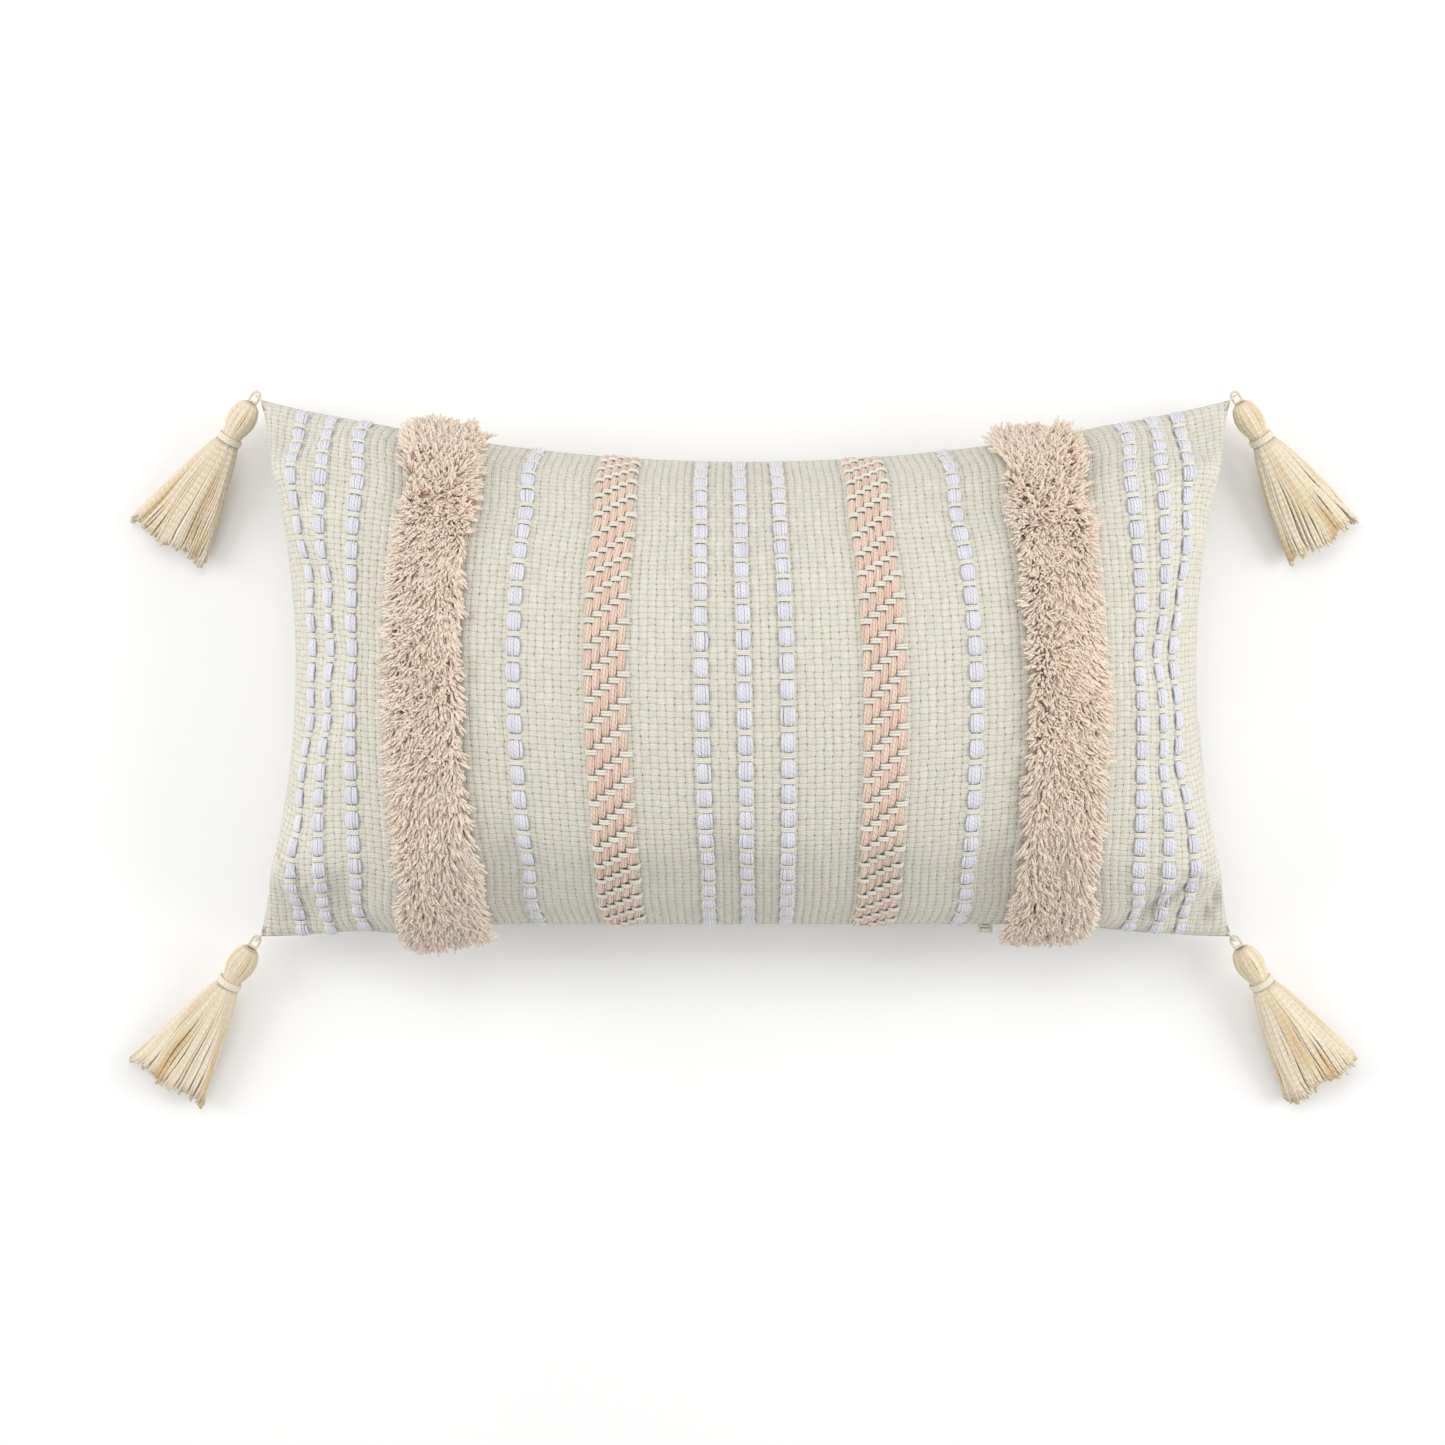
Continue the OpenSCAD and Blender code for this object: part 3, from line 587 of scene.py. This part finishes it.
def lay_yarns(name, lines, radii, up, tone, sides=5, squeeze=1.0):
    """A mesh of many yarns. lines is yarns x rings x 3, and radii and up fit it."""
    count, rings = lines.shape[:2]
    circle, ring, faces, round_it = yarn_shape(sides, rings)
    ahead = np.gradient(lines, axis=1)
    ahead /= lengths(ahead)
    up = np.broadcast_to(up, lines.shape)
    out = up - (up * ahead).sum(-1, keepdims=True) * ahead
    out /= np.maximum(lengths(out), 1e-9)
    aside = np.cross(out, ahead)
    radii = np.broadcast_to(radii, (count, rings))[:, ring, None]
    points = lines[:, ring] + radii * (
        circle[:, :1] * aside[:, ring] + circle[:, 1:] * out[:, ring] * squeeze
    )
    per = len(circle)
    sizes = np.array([len(f) for f in faces])
    corner = np.concatenate(faces)
    corners = (corner[None] + per * np.arange(count)[:, None]).ravel().astype(np.int32)
    starts = np.concatenate([[0], np.cumsum(np.tile(sizes, count))[:-1]]).astype(np.int32)
    mesh = bpy.data.meshes.new(name)
    mesh.vertices.add(per * count)
    mesh.vertices.foreach_set("co", points.astype(np.float32).ravel())
    mesh.loops.add(len(corners))
    mesh.loops.foreach_set("vertex_index", corners)
    mesh.polygons.add(len(starts))
    mesh.polygons.foreach_set("loop_start", starts)
    mesh.update(calc_edges=True)
    run = np.linalg.norm(np.diff(lines, axis=1), axis=2).cumsum(axis=1)
    run = np.concatenate([np.zeros((count, 1)), run], axis=1) / mm
    run += (7.3 * np.arange(count) % 11)[:, None]
    along = run[:, ring[corner]].ravel()
    laid = mesh.uv_layers.new(name="cloth")
    laid.data.foreach_set(
        "uv", np.stack([along, np.tile(round_it, count)], axis=1).astype(np.float32).ravel()
    )
    tone = np.broadcast_to(np.reshape(tone, (count, -1)), (count, rings))
    carry(mesh, "tone", tone[:, ring].ravel())
    carry(mesh, "along", np.tile(ring / (rings - 1), count))
    return mesh


def joined(name, meshes):
    """Several yarn meshes as one."""
    bm = bmesh.new()
    for mesh in meshes:
        bm.from_mesh(mesh)
    whole = bpy.data.meshes.new(name)
    bm.to_mesh(whole)
    bm.free()
    for mesh in meshes:
        bpy.data.meshes.remove(mesh)
    return whole


def yarn_finish(name, dark, light, shade_tone, twist=2.4, plies=2, sheen=0.3, root_shade=None):
    """Spun yarn: plies that wind round it, painted shade on its flanks, its own tone and soft
    fibre.
    """
    s = Shader(name, 0.85, sheen=sheen, specular=0.2)
    along, turn = s.threads()
    wound = s.sum("ADD", s.sum("MULTIPLY", along, 1 / twist), s.sum("MULTIPLY", turn, plies))
    ply = s.sum("SINE", s.sum("MULTIPLY", wound, 2 * math.pi))
    fibre = s.noise(s.place(), 900, 3, 0.6)
    colour = s.mix(s.own("tone"), dark, light)
    # Painted shade: the colour darkens towards the root, deep among the yarns
    if root_shade:
        colour = s.mix(s.step(s.own("along"), 0.0, 0.75, 1.0, 0.0), colour, root_shade)
    # Painted shade: the flanks of a yarn, turned away from its top, take the shade tone
    from_top = s.sum("SUBTRACT", s.sum("FRACT", s.sum("ADD", turn, 0.25)), 0.5)
    from_top = s.sum("ABSOLUTE", from_top)
    colour = s.mix(s.step(from_top, 0.09, 0.26, 0.0, 0.8), colour, shade_tone)
    # Painted shade also fills the grooves between the plies
    colour = s.mix(s.step(ply, -1, 0.1, 0.35, 0.0), colour, shade_tone)
    colour = s.mix(s.step(fibre, 0.4, 0.75, 0.0, 0.18), colour, (0.97, 0.97, 0.95))
    relief = s.sum("ADD", ply, s.sum("MULTIPLY", fibre, 0.7))
    return s.finish(colour, relief, 0.12 * mm, 0.8)


lilac_yarn = yarn_finish(
    "lilac_white_yarn", (0.70, 0.70, 0.76), (0.80, 0.80, 0.85), (0.53, 0.52, 0.61)
)
ground_thread = yarn_finish(
    "ground_thread", (0.74, 0.71, 0.62), (0.83, 0.81, 0.73), (0.66, 0.62, 0.50), twist=1.6
)
chance = np.random.default_rng(7)


def stripe_lines(x, y, lift):
    """Points over the front cloth: x and y in weave units, and lift above it in millimetres."""
    place, across, up, out = cloth_frame(front_panel, x / weave_x, y / weave_y)
    return place + out * (np.asarray(lift) * mm)[..., None], out


tie_lines, tie_outs = [], []
link = 2 * weave_y / link_count
laid_out = weave_x / (half_length / mm)
for stripe, place in chain_places.items():
    chain_x = place * laid_out
    start = (np.arange(-2, link_count + 2) + 0.1) * link - weave_y + chain_x * stripe_slope
    stop = (start + link * float_share).clip(None, weave_y - stripe_margin)
    start = start.clip(stripe_margin - weave_y)
    long_enough = stop - start > shortest_float
    start, stop = start[long_enough], stop[long_enough]
    s = np.linspace(0, 1, 9)
    yarn = np.arange(float_yarns) - (float_yarns - 1) / 2
    bulge = np.sin(math.pi * s)
    each = (len(start), float_yarns, 1)
    short = 0.35 * yarn[:, None] ** 2 * (1 - 2 * s)
    y = start[:, None, None] + (stop - start)[:, None, None] * s + short * 0.5
    y = y + chance.normal(0, 0.12, each)
    spread = float_pitch * (0.74 + 0.26 * bulge**0.6) * chance.uniform(0.95, 1.05, each)
    x = chain_x + yarn[:, None] * spread + chance.normal(0, 0.08, each)
    barrel = 1 - 0.5 * (yarn / 2) ** 2
    lift = -0.1 + (0.9 + float_bulge * barrel[:, None]) * bulge**0.5
    lift = lift + chance.normal(0, 0.08, each)
    lines, outs = stripe_lines(x, y, lift)
    shape = (-1, 9, 3)
    mesh = lay_yarns(
        "chain_" + stripe + "_yarn", lines.reshape(shape),
        float_radius * mm * (0.8 + 0.2 * bulge), outs.reshape(shape), sides=6,
        tone=chance.uniform(0, 1, lines.shape[0] * lines.shape[1]),
    )
    chain = mesh_piece("chain_" + stripe + "_yarn", mesh, lilac_yarn)
    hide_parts("chain_" + stripe)
    s = np.linspace(-1, 1, 7)
    held_down = stop[stop < weave_y - 3] + link * (1 - float_share) / 2
    tie_y = held_down[:, None, None] + tie_step * np.array([-1, 0, 1])[:, None] + 0 * s
    tie_x = chain_x + tie_half * s + 0 * tie_y
    tie_lift = tie_rise * (1 - abs(s) ** 4) - tie_sunk + 0 * tie_y
    lines, outs = stripe_lines(tie_x, tie_y, tie_lift)
    tie_lines.append(lines.reshape(-1, 7, 3))
    tie_outs.append(outs.reshape(-1, 7, 3))

tie_lines, tie_outs = np.concatenate(tie_lines), np.concatenate(tie_outs)
tie_mesh = lay_yarns(
    "chain_ties", tie_lines, tie_radius * mm, tie_outs,
    tone=chance.uniform(0.3, 1, len(tie_lines)),
)
chain_ties = mesh_piece("chain_ties", tie_mesh, ground_thread)


# ---------- zigzags ----------
# Two bands of blush yarn. Each has five columns of three-yarn floats, a quarter step apart, and
# two ground threads tie each float down, so that the ties climb to the right.

zigzag_places = {"left": -63.9, "right": 63.9}
zigzag_columns, column_pitch, zigzag_link = 5, 4.4, 12.9
blush_pitch, blush_radius, blush_rise, blush_lean, blush_end = 1.28, 0.78, 1.75, 1.3, 0.9
brace_gap, brace_reach, brace_rise, brace_radius = 0.68, 6.7, 2.2, 0.7
blush_yarn = yarn_finish(
    "blush_yarn", (0.76, 0.56, 0.44), (0.86, 0.69, 0.58), (0.54, 0.34, 0.22)
)

for side, place in zigzag_places.items():
    zigzag_x = place * laid_out
    floats, float_outs, ties, tie_up = [], [], [], []
    count = int(2 * weave_y / zigzag_link) + 2
    for column in range(zigzag_columns):
        left = zigzag_x + (column - zigzag_columns / 2) * column_pitch
        tie = (np.arange(-2, count) + column / 4) * zigzag_link - weave_y
        start = (tie + blush_end).clip(stripe_margin - weave_y)
        stop = (tie + zigzag_link - blush_end).clip(None, weave_y - stripe_margin)
        long_enough = stop - start > shortest_float
        start, stop = start[long_enough], stop[long_enough]
        s = np.linspace(0, 1, 7)
        bulge = np.sin(math.pi * s)
        yarn = np.array([-1.0, 0.0, 1.0])
        y = start[:, None, None] + (stop - start)[:, None, None] * s + 0 * yarn[:, None]
        y = y + chance.normal(0, 0.2, (len(start), 3, 1))
        lean = blush_lean * (s - 0.5)
        spread = yarn[:, None] * blush_pitch * (0.75 + 0.25 * bulge)
        x = left + column_pitch / 2 + spread + lean + 0 * y
        lift = (blush_rise - 0.5 * abs(yarn[:, None])) * bulge**0.5
        lift = lift + chance.normal(0, 0.08, (len(start), 3, 1))
        lines, outs = stripe_lines(x, y, lift)
        floats.append(lines.reshape(-1, 7, 3))
        float_outs.append(outs.reshape(-1, 7, 3))
        tie = tie[(tie > -weave_y + 1) & (tie < weave_y - 1)]
        pair = brace_gap * np.array([-1, 1])[:, None]
        y = tie[:, None, None] + pair + 0 * s
        x = left - 0.2 + brace_reach * s + 0 * y
        lift = -tie_sunk + brace_rise * np.sin(math.pi * s) ** 0.3 + 0 * y
        lines, outs = stripe_lines(x, y, lift)
        ties.append(lines.reshape(-1, 7, 3))
        tie_up.append(outs.reshape(-1, 7, 3))
    floats, float_outs = np.concatenate(floats), np.concatenate(float_outs)
    mesh = lay_yarns(
        "zigzag_" + side + "_yarn", floats, blush_radius * mm * (0.85 + 0.15 * bulge),
        float_outs, sides=6, tone=chance.uniform(0, 1, len(floats)),
    )
    zigzag = mesh_piece("zigzag_" + side + "_yarn", mesh, blush_yarn)
    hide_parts("zigzag_" + side)
    ties, tie_up = np.concatenate(ties), np.concatenate(tie_up)
    mesh = lay_yarns(
        "zigzag_" + side + "_ties", ties, brace_radius * mm, tie_up,
        tone=chance.uniform(0.4, 1, len(ties)),
    )
    mesh_piece("zigzag_" + side + "_ties", mesh, ground_thread)


# ---------- pile strips ----------
# Two shaggy strips of blush yarn, knotted into the ground in clumps and cut. Each clump leans
# its own way and its yarns part towards their cut ends, over a root darkened with painted shade.

pile_places = {"left": -149.7, "right": 149.7}
pile_width, pile_length = 31.0, 12.0
pile_radius, clump_yarns, clump_step_x, clump_step_y = 0.58, 4, 2.0, 2.1
bed_width, bed_height = 27.0, 3.6
# The root colour is painted shade deep in the pile
pile_yarn = yarn_finish(
    "cut_pile_yarn", (0.95, 0.80, 0.67), (0.99, 0.91, 0.82), (0.93, 0.74, 0.58), twist=1.8,
    sheen=0.5, root_shade=(0.84, 0.60, 0.41),
)

for side, place in pile_places.items():
    strip_x = place * laid_out
    columns, rows = int(pile_width / clump_step_x), int(2 * weave_y / clump_step_y)
    base_x = strip_x + (np.arange(columns) / (columns - 1) - 0.5) * pile_width
    base_y = (np.arange(rows) + 0.5) / rows * 2 * weave_y - weave_y
    x, y = np.meshgrid(base_x, base_y)
    x = x.ravel() + chance.normal(0, 0.5, x.size)
    y = y.ravel() + chance.normal(0, 0.5, y.size)
    count = x.size
    # The lean of a clump turns slowly over the strip, and spills outwards at its sides
    field_x = np.sin(y / 17 + 1.3) + 0.8 * np.sin(y / 7.3 + x / 9) + 0.6 * np.sin(x / 4.1 - y / 11)
    field_y = np.sin(y / 23 + x / 13 + 2) + 0.7 * np.sin(y / 6.1 - x / 8)
    aside = (x - strip_x) / (pile_width / 2)
    middle = ease(1 - abs(y / weave_y), 0.1, 0.5)
    lean_x = 0.20 * field_x + 0.55 * aside**3 + 0.12 * aside
    lean_y = 0.22 * field_y - 0.35 - 0.45 * middle - 0.2 * aside
    x, y = np.repeat(x, clump_yarns), np.repeat(y, clump_yarns)
    lean_x = np.repeat(lean_x + chance.normal(0, 0.34, count), clump_yarns)
    lean_y = np.repeat(lean_y + chance.normal(0, 0.28, count), clump_yarns)
    lean_x = lean_x + chance.normal(0, 0.28, len(x))
    lean_y = lean_y + chance.normal(0, 0.20, len(x))
    long = pile_length * chance.uniform(0.75, 1.05, len(x))
    place, across, up, out = cloth_frame(front_panel, x / weave_x, np.clip(y / weave_y, -1, 1))
    heading = out + across * lean_x[:, None] + up * lean_y[:, None]
    heading /= lengths(heading)
    s = np.linspace(0, 1, 3)
    droop = np.zeros((len(x), 3, 3))
    droop[..., 2] = -0.22 * s**2
    lines = place[:, None] + (
        out[:, None] * (s * (1 - s) * 0.35)[:, None] + heading[:, None] * s[:, None] + droop
    ) * (long * mm)[:, None, None]
    lines[..., 2] = np.maximum(lines[..., 2], 1 * mm)
    thickness = chance.uniform(0.8, 1.15, len(x))[:, None]
    radii = pile_radius * mm * thickness * np.array([0.8, 1, 0.95])
    tufts = lay_yarns(
        "tufts", lines, radii, across[:, None] + 0 * lines, chance.uniform(0, 1, len(x)), sides=4
    )
    # The roots stand so close that they make a low solid bed, all in the painted root shade
    s = np.linspace(-1, 1, 81)
    lines, outs = stripe_lines(strip_x + 0 * s, (weave_y - 3) * s, 0 * s)
    bed = lay_yarns(
        "bed", lines[None], bed_width / 2 * mm, outs[None], tone=0.3, sides=32,
        squeeze=bed_height / (bed_width / 2),
    )
    carry(bed, "along", np.zeros(len(bed.vertices)))
    mesh = joined("pile_strip_" + side + "_yarn", [tufts, bed])
    strip = mesh_piece("pile_strip_" + side + "_yarn", mesh, pile_yarn)
    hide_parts("pile_strip_" + side)


# ---------- tassels ----------
# A tassel of ecru cotton yarn hangs at each corner: strands folded over the eye make its round
# head, a thread winds round its neck, and the loose skirt spreads and lies on the table.

splay, table_clearance = math.radians(33), 0.15
corner_z, loop_length, stitch_stand = 22.0, 3.8, 3.1
head_start, head_length, head_width = 1.2, 18.5, 14.4
neck_half, binding_length = 5.1, 4.2
skirt_start, skirt_length = 24.7, 63.0
skirt_width, skirt_thickness = 44.0, 14.0
skirt_layers = (120, 80, 40)
head_strands, head_radius, core_inset = 34, 0.78, 0.7
binding_turns, binding_radius = 4, 0.58
# The tassel slopes down from the corner until its cut end lies on the table
slope_drop = (corner_z - skirt_thickness / 2 - table_clearance) / (skirt_start + skirt_length)

tassel_yarn = yarn_finish(
    "tassel_cotton", (0.68, 0.49, 0.26), (0.87, 0.79, 0.64), (0.68, 0.53, 0.33), twist=3.4,
    sheen=0.2,
)
binding_thread = yarn_finish(
    "binding_thread", (0.82, 0.73, 0.57), (0.92, 0.85, 0.71), (0.60, 0.47, 0.30), twist=1.5
)


def tassel_frame(side, end):
    """The eye's place in millimetres, and the tassel's length, width and depth directions."""
    out = stitch_stand / math.sqrt(2)
    heading = -math.pi / 2 + side * splay
    ahead = np.array([math.cos(heading), math.sin(heading), 0])
    eye = np.array([
        side * (half_length / mm + out), middle_y / mm + end * (half_height / mm + out), corner_z
    ]) + loop_length * ahead
    wide = np.array([-ahead[1], ahead[0], 0])
    level = math.sqrt(1 - slope_drop**2)
    down = np.array([ahead[0] * level, ahead[1] * level, -slope_drop])
    return eye, down, wide, np.cross(down, wide)


def into_place(frame_of, points):
    """Points given along, across and above a tassel, in millimetres, put at its corner."""
    eye, down, wide, high = frame_of
    placed = eye + points[..., :1] * down + points[..., 1:2] * wide + points[..., 2:] * high
    return placed * mm


def spokes(count, wobble):
    """Angles of that many strands round the tassel, a little uneven."""
    return (np.arange(count) + chance.normal(0, wobble, count)) * 2 * math.pi / count


def egg(s):
    """Half the head's width at a place along the tassel, and never less than its neck."""
    k = (s - head_start - head_length / 2) / (head_length / 2 + 1.0)
    return np.maximum(neck_half, head_width / 2 * np.sqrt(np.clip(1 - k * k, 0, 1)))


for name, side, end in (("tl", -1, 1), ("tr", 1, 1), ("bl", -1, -1), ("br", 1, -1)):
    seat = tassel_frame(side, end)
    rides = "tassel_" + name

    # Head: strands over the egg, on a core of the same yarn
    turn = spokes(head_strands, 0.12)[:, None]
    k = np.linspace(0, 1, 9)
    s = head_start + (head_length + 3) * (k - 0.06 * np.sin(2 * math.pi * k))
    rise = egg(s) - 0.45
    rise[0] = 2.2
    about = turn + 0.10 * k
    points = np.stack([s + 0 * turn, rise * np.cos(about), rise * np.sin(about)], axis=-1)
    lines = into_place(seat, points)
    outs = lines - into_place(seat, points * np.array([1, 0, 0]))
    strands = lay_yarns(
        "strands", lines, head_radius * mm, outs, sides=6,
        tone=chance.uniform(0.25, 1, head_strands),
    )
    core = bmesh.new()
    bmesh.ops.create_uvsphere(core, u_segments=20, v_segments=12, radius=1)
    for vert in core.verts:
        at = np.array([
            head_start + head_length / 2 + vert.co.z * (head_length / 2 - 0.2),
            vert.co.x * (head_width / 2 - core_inset), vert.co.y * (head_width / 2 - core_inset),
        ])
        vert.co = into_place(seat, at)
    bmesh.ops.recalc_face_normals(core, faces=core.faces)
    core_mesh = bpy.data.meshes.new("core")
    core.to_mesh(core_mesh)
    core.free()
    core_mesh.uv_layers.new(name="cloth")
    # The core takes nearly the darkest tone: painted shade where it shows between the head strands
    carry(core_mesh, "tone", np.full(len(core_mesh.vertices), 0.1))
    carry(core_mesh, "along", np.full(len(core_mesh.vertices), 0.5))
    mesh = joined("tassel_head_" + name + "_yarn", [strands, core_mesh])
    head = mesh_piece("tassel_head_" + name + "_yarn", mesh, tassel_yarn, rides)
    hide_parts("tassel_head_" + name)

    # Binding: one thread wound round the neck
    k = np.linspace(0, 1, 22 * binding_turns)
    about = 2 * math.pi * binding_turns * k
    s = skirt_start - binding_length + 0.5 + (binding_length - 1) * k
    swell_out = neck_half + 0.75 + 0.35 * np.sin(math.pi * k)
    points = np.stack([s, swell_out * np.cos(about), swell_out * np.sin(about)], axis=-1)[None]
    lines = into_place(seat, points)
    outs = lines - into_place(seat, points * np.array([1, 0, 0]))
    mesh = lay_yarns(
        "tassel_binding_" + name + "_thread", lines, binding_radius * mm, outs, tone=0.7, sides=6
    )
    binding = mesh_piece("tassel_binding_" + name + "_thread", mesh, binding_thread, rides)
    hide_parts("tassel_binding_" + name)

    # Skirt: fine strands combed side by side in three layers, in locks that wave together
    about = np.concatenate([spokes(layer, 0.5) for layer in skirt_layers])
    share = np.concatenate([
        chance.uniform(0.9 - 0.3 * n, 1.0 - 0.3 * n, layer) for n, layer in enumerate(skirt_layers)
    ])
    count = len(about)
    lock_phase = chance.uniform(0, 2 * math.pi, 4)
    k = np.linspace(0, 1, 10)
    fan = (skirt_width / 2 - neck_half) * k**0.78
    thick = neck_half * 0.95 + (skirt_thickness / 2 - neck_half) * np.sqrt(k)
    turned = about[:, None]
    wave = k * (
        0.9 * np.sin(5.0 * k + 3 * turned + lock_phase[0])
        + 0.4 * np.sin(9.0 * k + 7 * turned + lock_phase[1])
        + 0.25 * np.sin(14 * k + chance.uniform(0, 6.3, (count, 1)))
    )
    ragged = 2.2 * np.sin(4 * about + lock_phase[2]) + chance.uniform(-1.5, 1.5, count) - 3.6
    s = skirt_start - 1.5 + (skirt_length + 1.5 + ragged[:, None]) * k
    points = np.stack([
        s,
        share[:, None] * np.cos(turned) * (neck_half * 0.95 + fan) + wave,
        share[:, None] * np.sin(turned) * thick + 0.4 * wave
    ], axis=-1)
    lines = into_place(seat, points)
    lines[..., 2] = np.maximum(lines[..., 2], 0.75 * mm)
    radii = chance.uniform(0.5, 0.72, count)[:, None] * mm * (1.0 + 0.25 * k)
    # Painted shade: the tone darkens to ochre in the folds between locks, most of all low down
    fold = np.sin(4 * turned + 2.5 * k + lock_phase[3]) + 0.5 * np.sin(9 * turned - 3 * k)
    tone = 0.85 - 0.75 * ease(fold, 0.1, 1.3) * (0.35 + k)
    tone = np.clip(tone + chance.normal(0, 0.1, (count, 1)), 0, 1)
    mesh = lay_yarns("tassel_skirt_" + name + "_yarn", lines, radii, (0, 0, 1), tone)
    skirt = mesh_piece("tassel_skirt_" + name + "_yarn", mesh, tassel_yarn, rides)
    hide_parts("tassel_skirt_" + name)


# ---------- loops, stitches, label, zip and insert ----------
# Small sewn and moulded parts keep their CAD shapes. Cords are twisted ecru cotton, the zip is
# cream nylon with a painted slider, and the insert is white casing round polyester fibre.


def small_finish(name, dark, light, grain, depth, shine=(0.85, 0.2, 0.0), stretch=(1, 1, 1)):
    """Thread, nylon, paint or fibre: its two tones, grain, and roughness, sheen and metal."""
    roughness, sheen, metal = shine
    s = Shader(name, roughness, sheen=sheen, specular=0.4)
    s.body.inputs["Metallic"].default_value = metal
    fine = s.noise(s.place(stretch), grain, 4, 0.6)
    broad = s.noise(s.place(), grain / 12, 2)
    colour = s.mix(s.step(fine, 0.3, 0.7), dark, light)
    colour = s.mix(s.step(broad, 0.35, 0.7, 0.0, 0.25), colour, tuple(0.85 * c for c in dark))
    return s.finish(colour, fine, depth * mm, 0.7)


stop_tones = (0.66, 0.63, 0.54), (0.78, 0.75, 0.66)
metal_tones = (0.66, 0.63, 0.55), (0.74, 0.71, 0.63)
smooth_nylon, painted_metal = (0.4, 0.0, 0.0), (0.35, 0.0, 0.3)
# Each finish goes to the kept pieces whose names start with its key
small_finishes = {
    "corner_stitch": small_finish(
        "corner_stitch_thread", (0.62, 0.53, 0.40), (0.82, 0.74, 0.62), 1400, 0.15,
        stretch=(1, 1, 3),
    ),
    "tassel_loop": small_finish(
        "tassel_loop_cord", (0.66, 0.56, 0.42), (0.86, 0.79, 0.66), 1300, 0.15, stretch=(3, 1, 1)
    ),
    "seam_allowance": small_finish(
        "seam_allowance_cotton", (0.68, 0.66, 0.56), (0.82, 0.80, 0.71), 700, 0.2,
        (0.9, 0.2, 0.0), (1, 3, 1),
    ),
    "care_label": small_finish(
        "label_ribbon", (0.84, 0.84, 0.82), (0.93, 0.93, 0.92), 1500, 0.04,
        (0.5, 0.1, 0.0), (1, 6, 1),
    ),
    "insert_": small_finish(
        "insert_casing", (0.84, 0.84, 0.83), (0.93, 0.93, 0.92), 500, 0.1, (0.9, 0.1, 0.0)
    ),
    "polyester_fill": small_finish(
        "polyester_fibre", (0.86, 0.86, 0.86), (0.96, 0.96, 0.96), 120, 0.8,
        (0.95, 0.4, 0.0), (1, 1, 2),
    ),
    "zip_tape": small_finish(
        "zip_tape_cotton", (0.72, 0.69, 0.58), (0.84, 0.81, 0.72), 1200, 0.1, stretch=(1, 4, 1)
    ),
    "zip_coil": small_finish(
        "zip_coil_nylon", (0.66, 0.63, 0.53), (0.82, 0.79, 0.70), 900, 0.2,
        (0.35, 0.0, 0.0), (3, 1, 1),
    ),
    "zip_top_stop": small_finish("zip_stop_nylon", *stop_tones, 900, 0.05, smooth_nylon),
    "zip_bottom_stop": small_finish("zip_stop_nylon_lower", *stop_tones, 900, 0.05, smooth_nylon),
    "zip_slider": small_finish("zip_slider_paint", *metal_tones, 800, 0.03, painted_metal),
    "zip_pull": small_finish("zip_pull_paint", *metal_tones, 800, 0.03, painted_metal),
}
for start, material in small_finishes.items():
    for name, part in node.items():
        if name.startswith(start):
            for slot in part.material_slots:
                slot.material = material
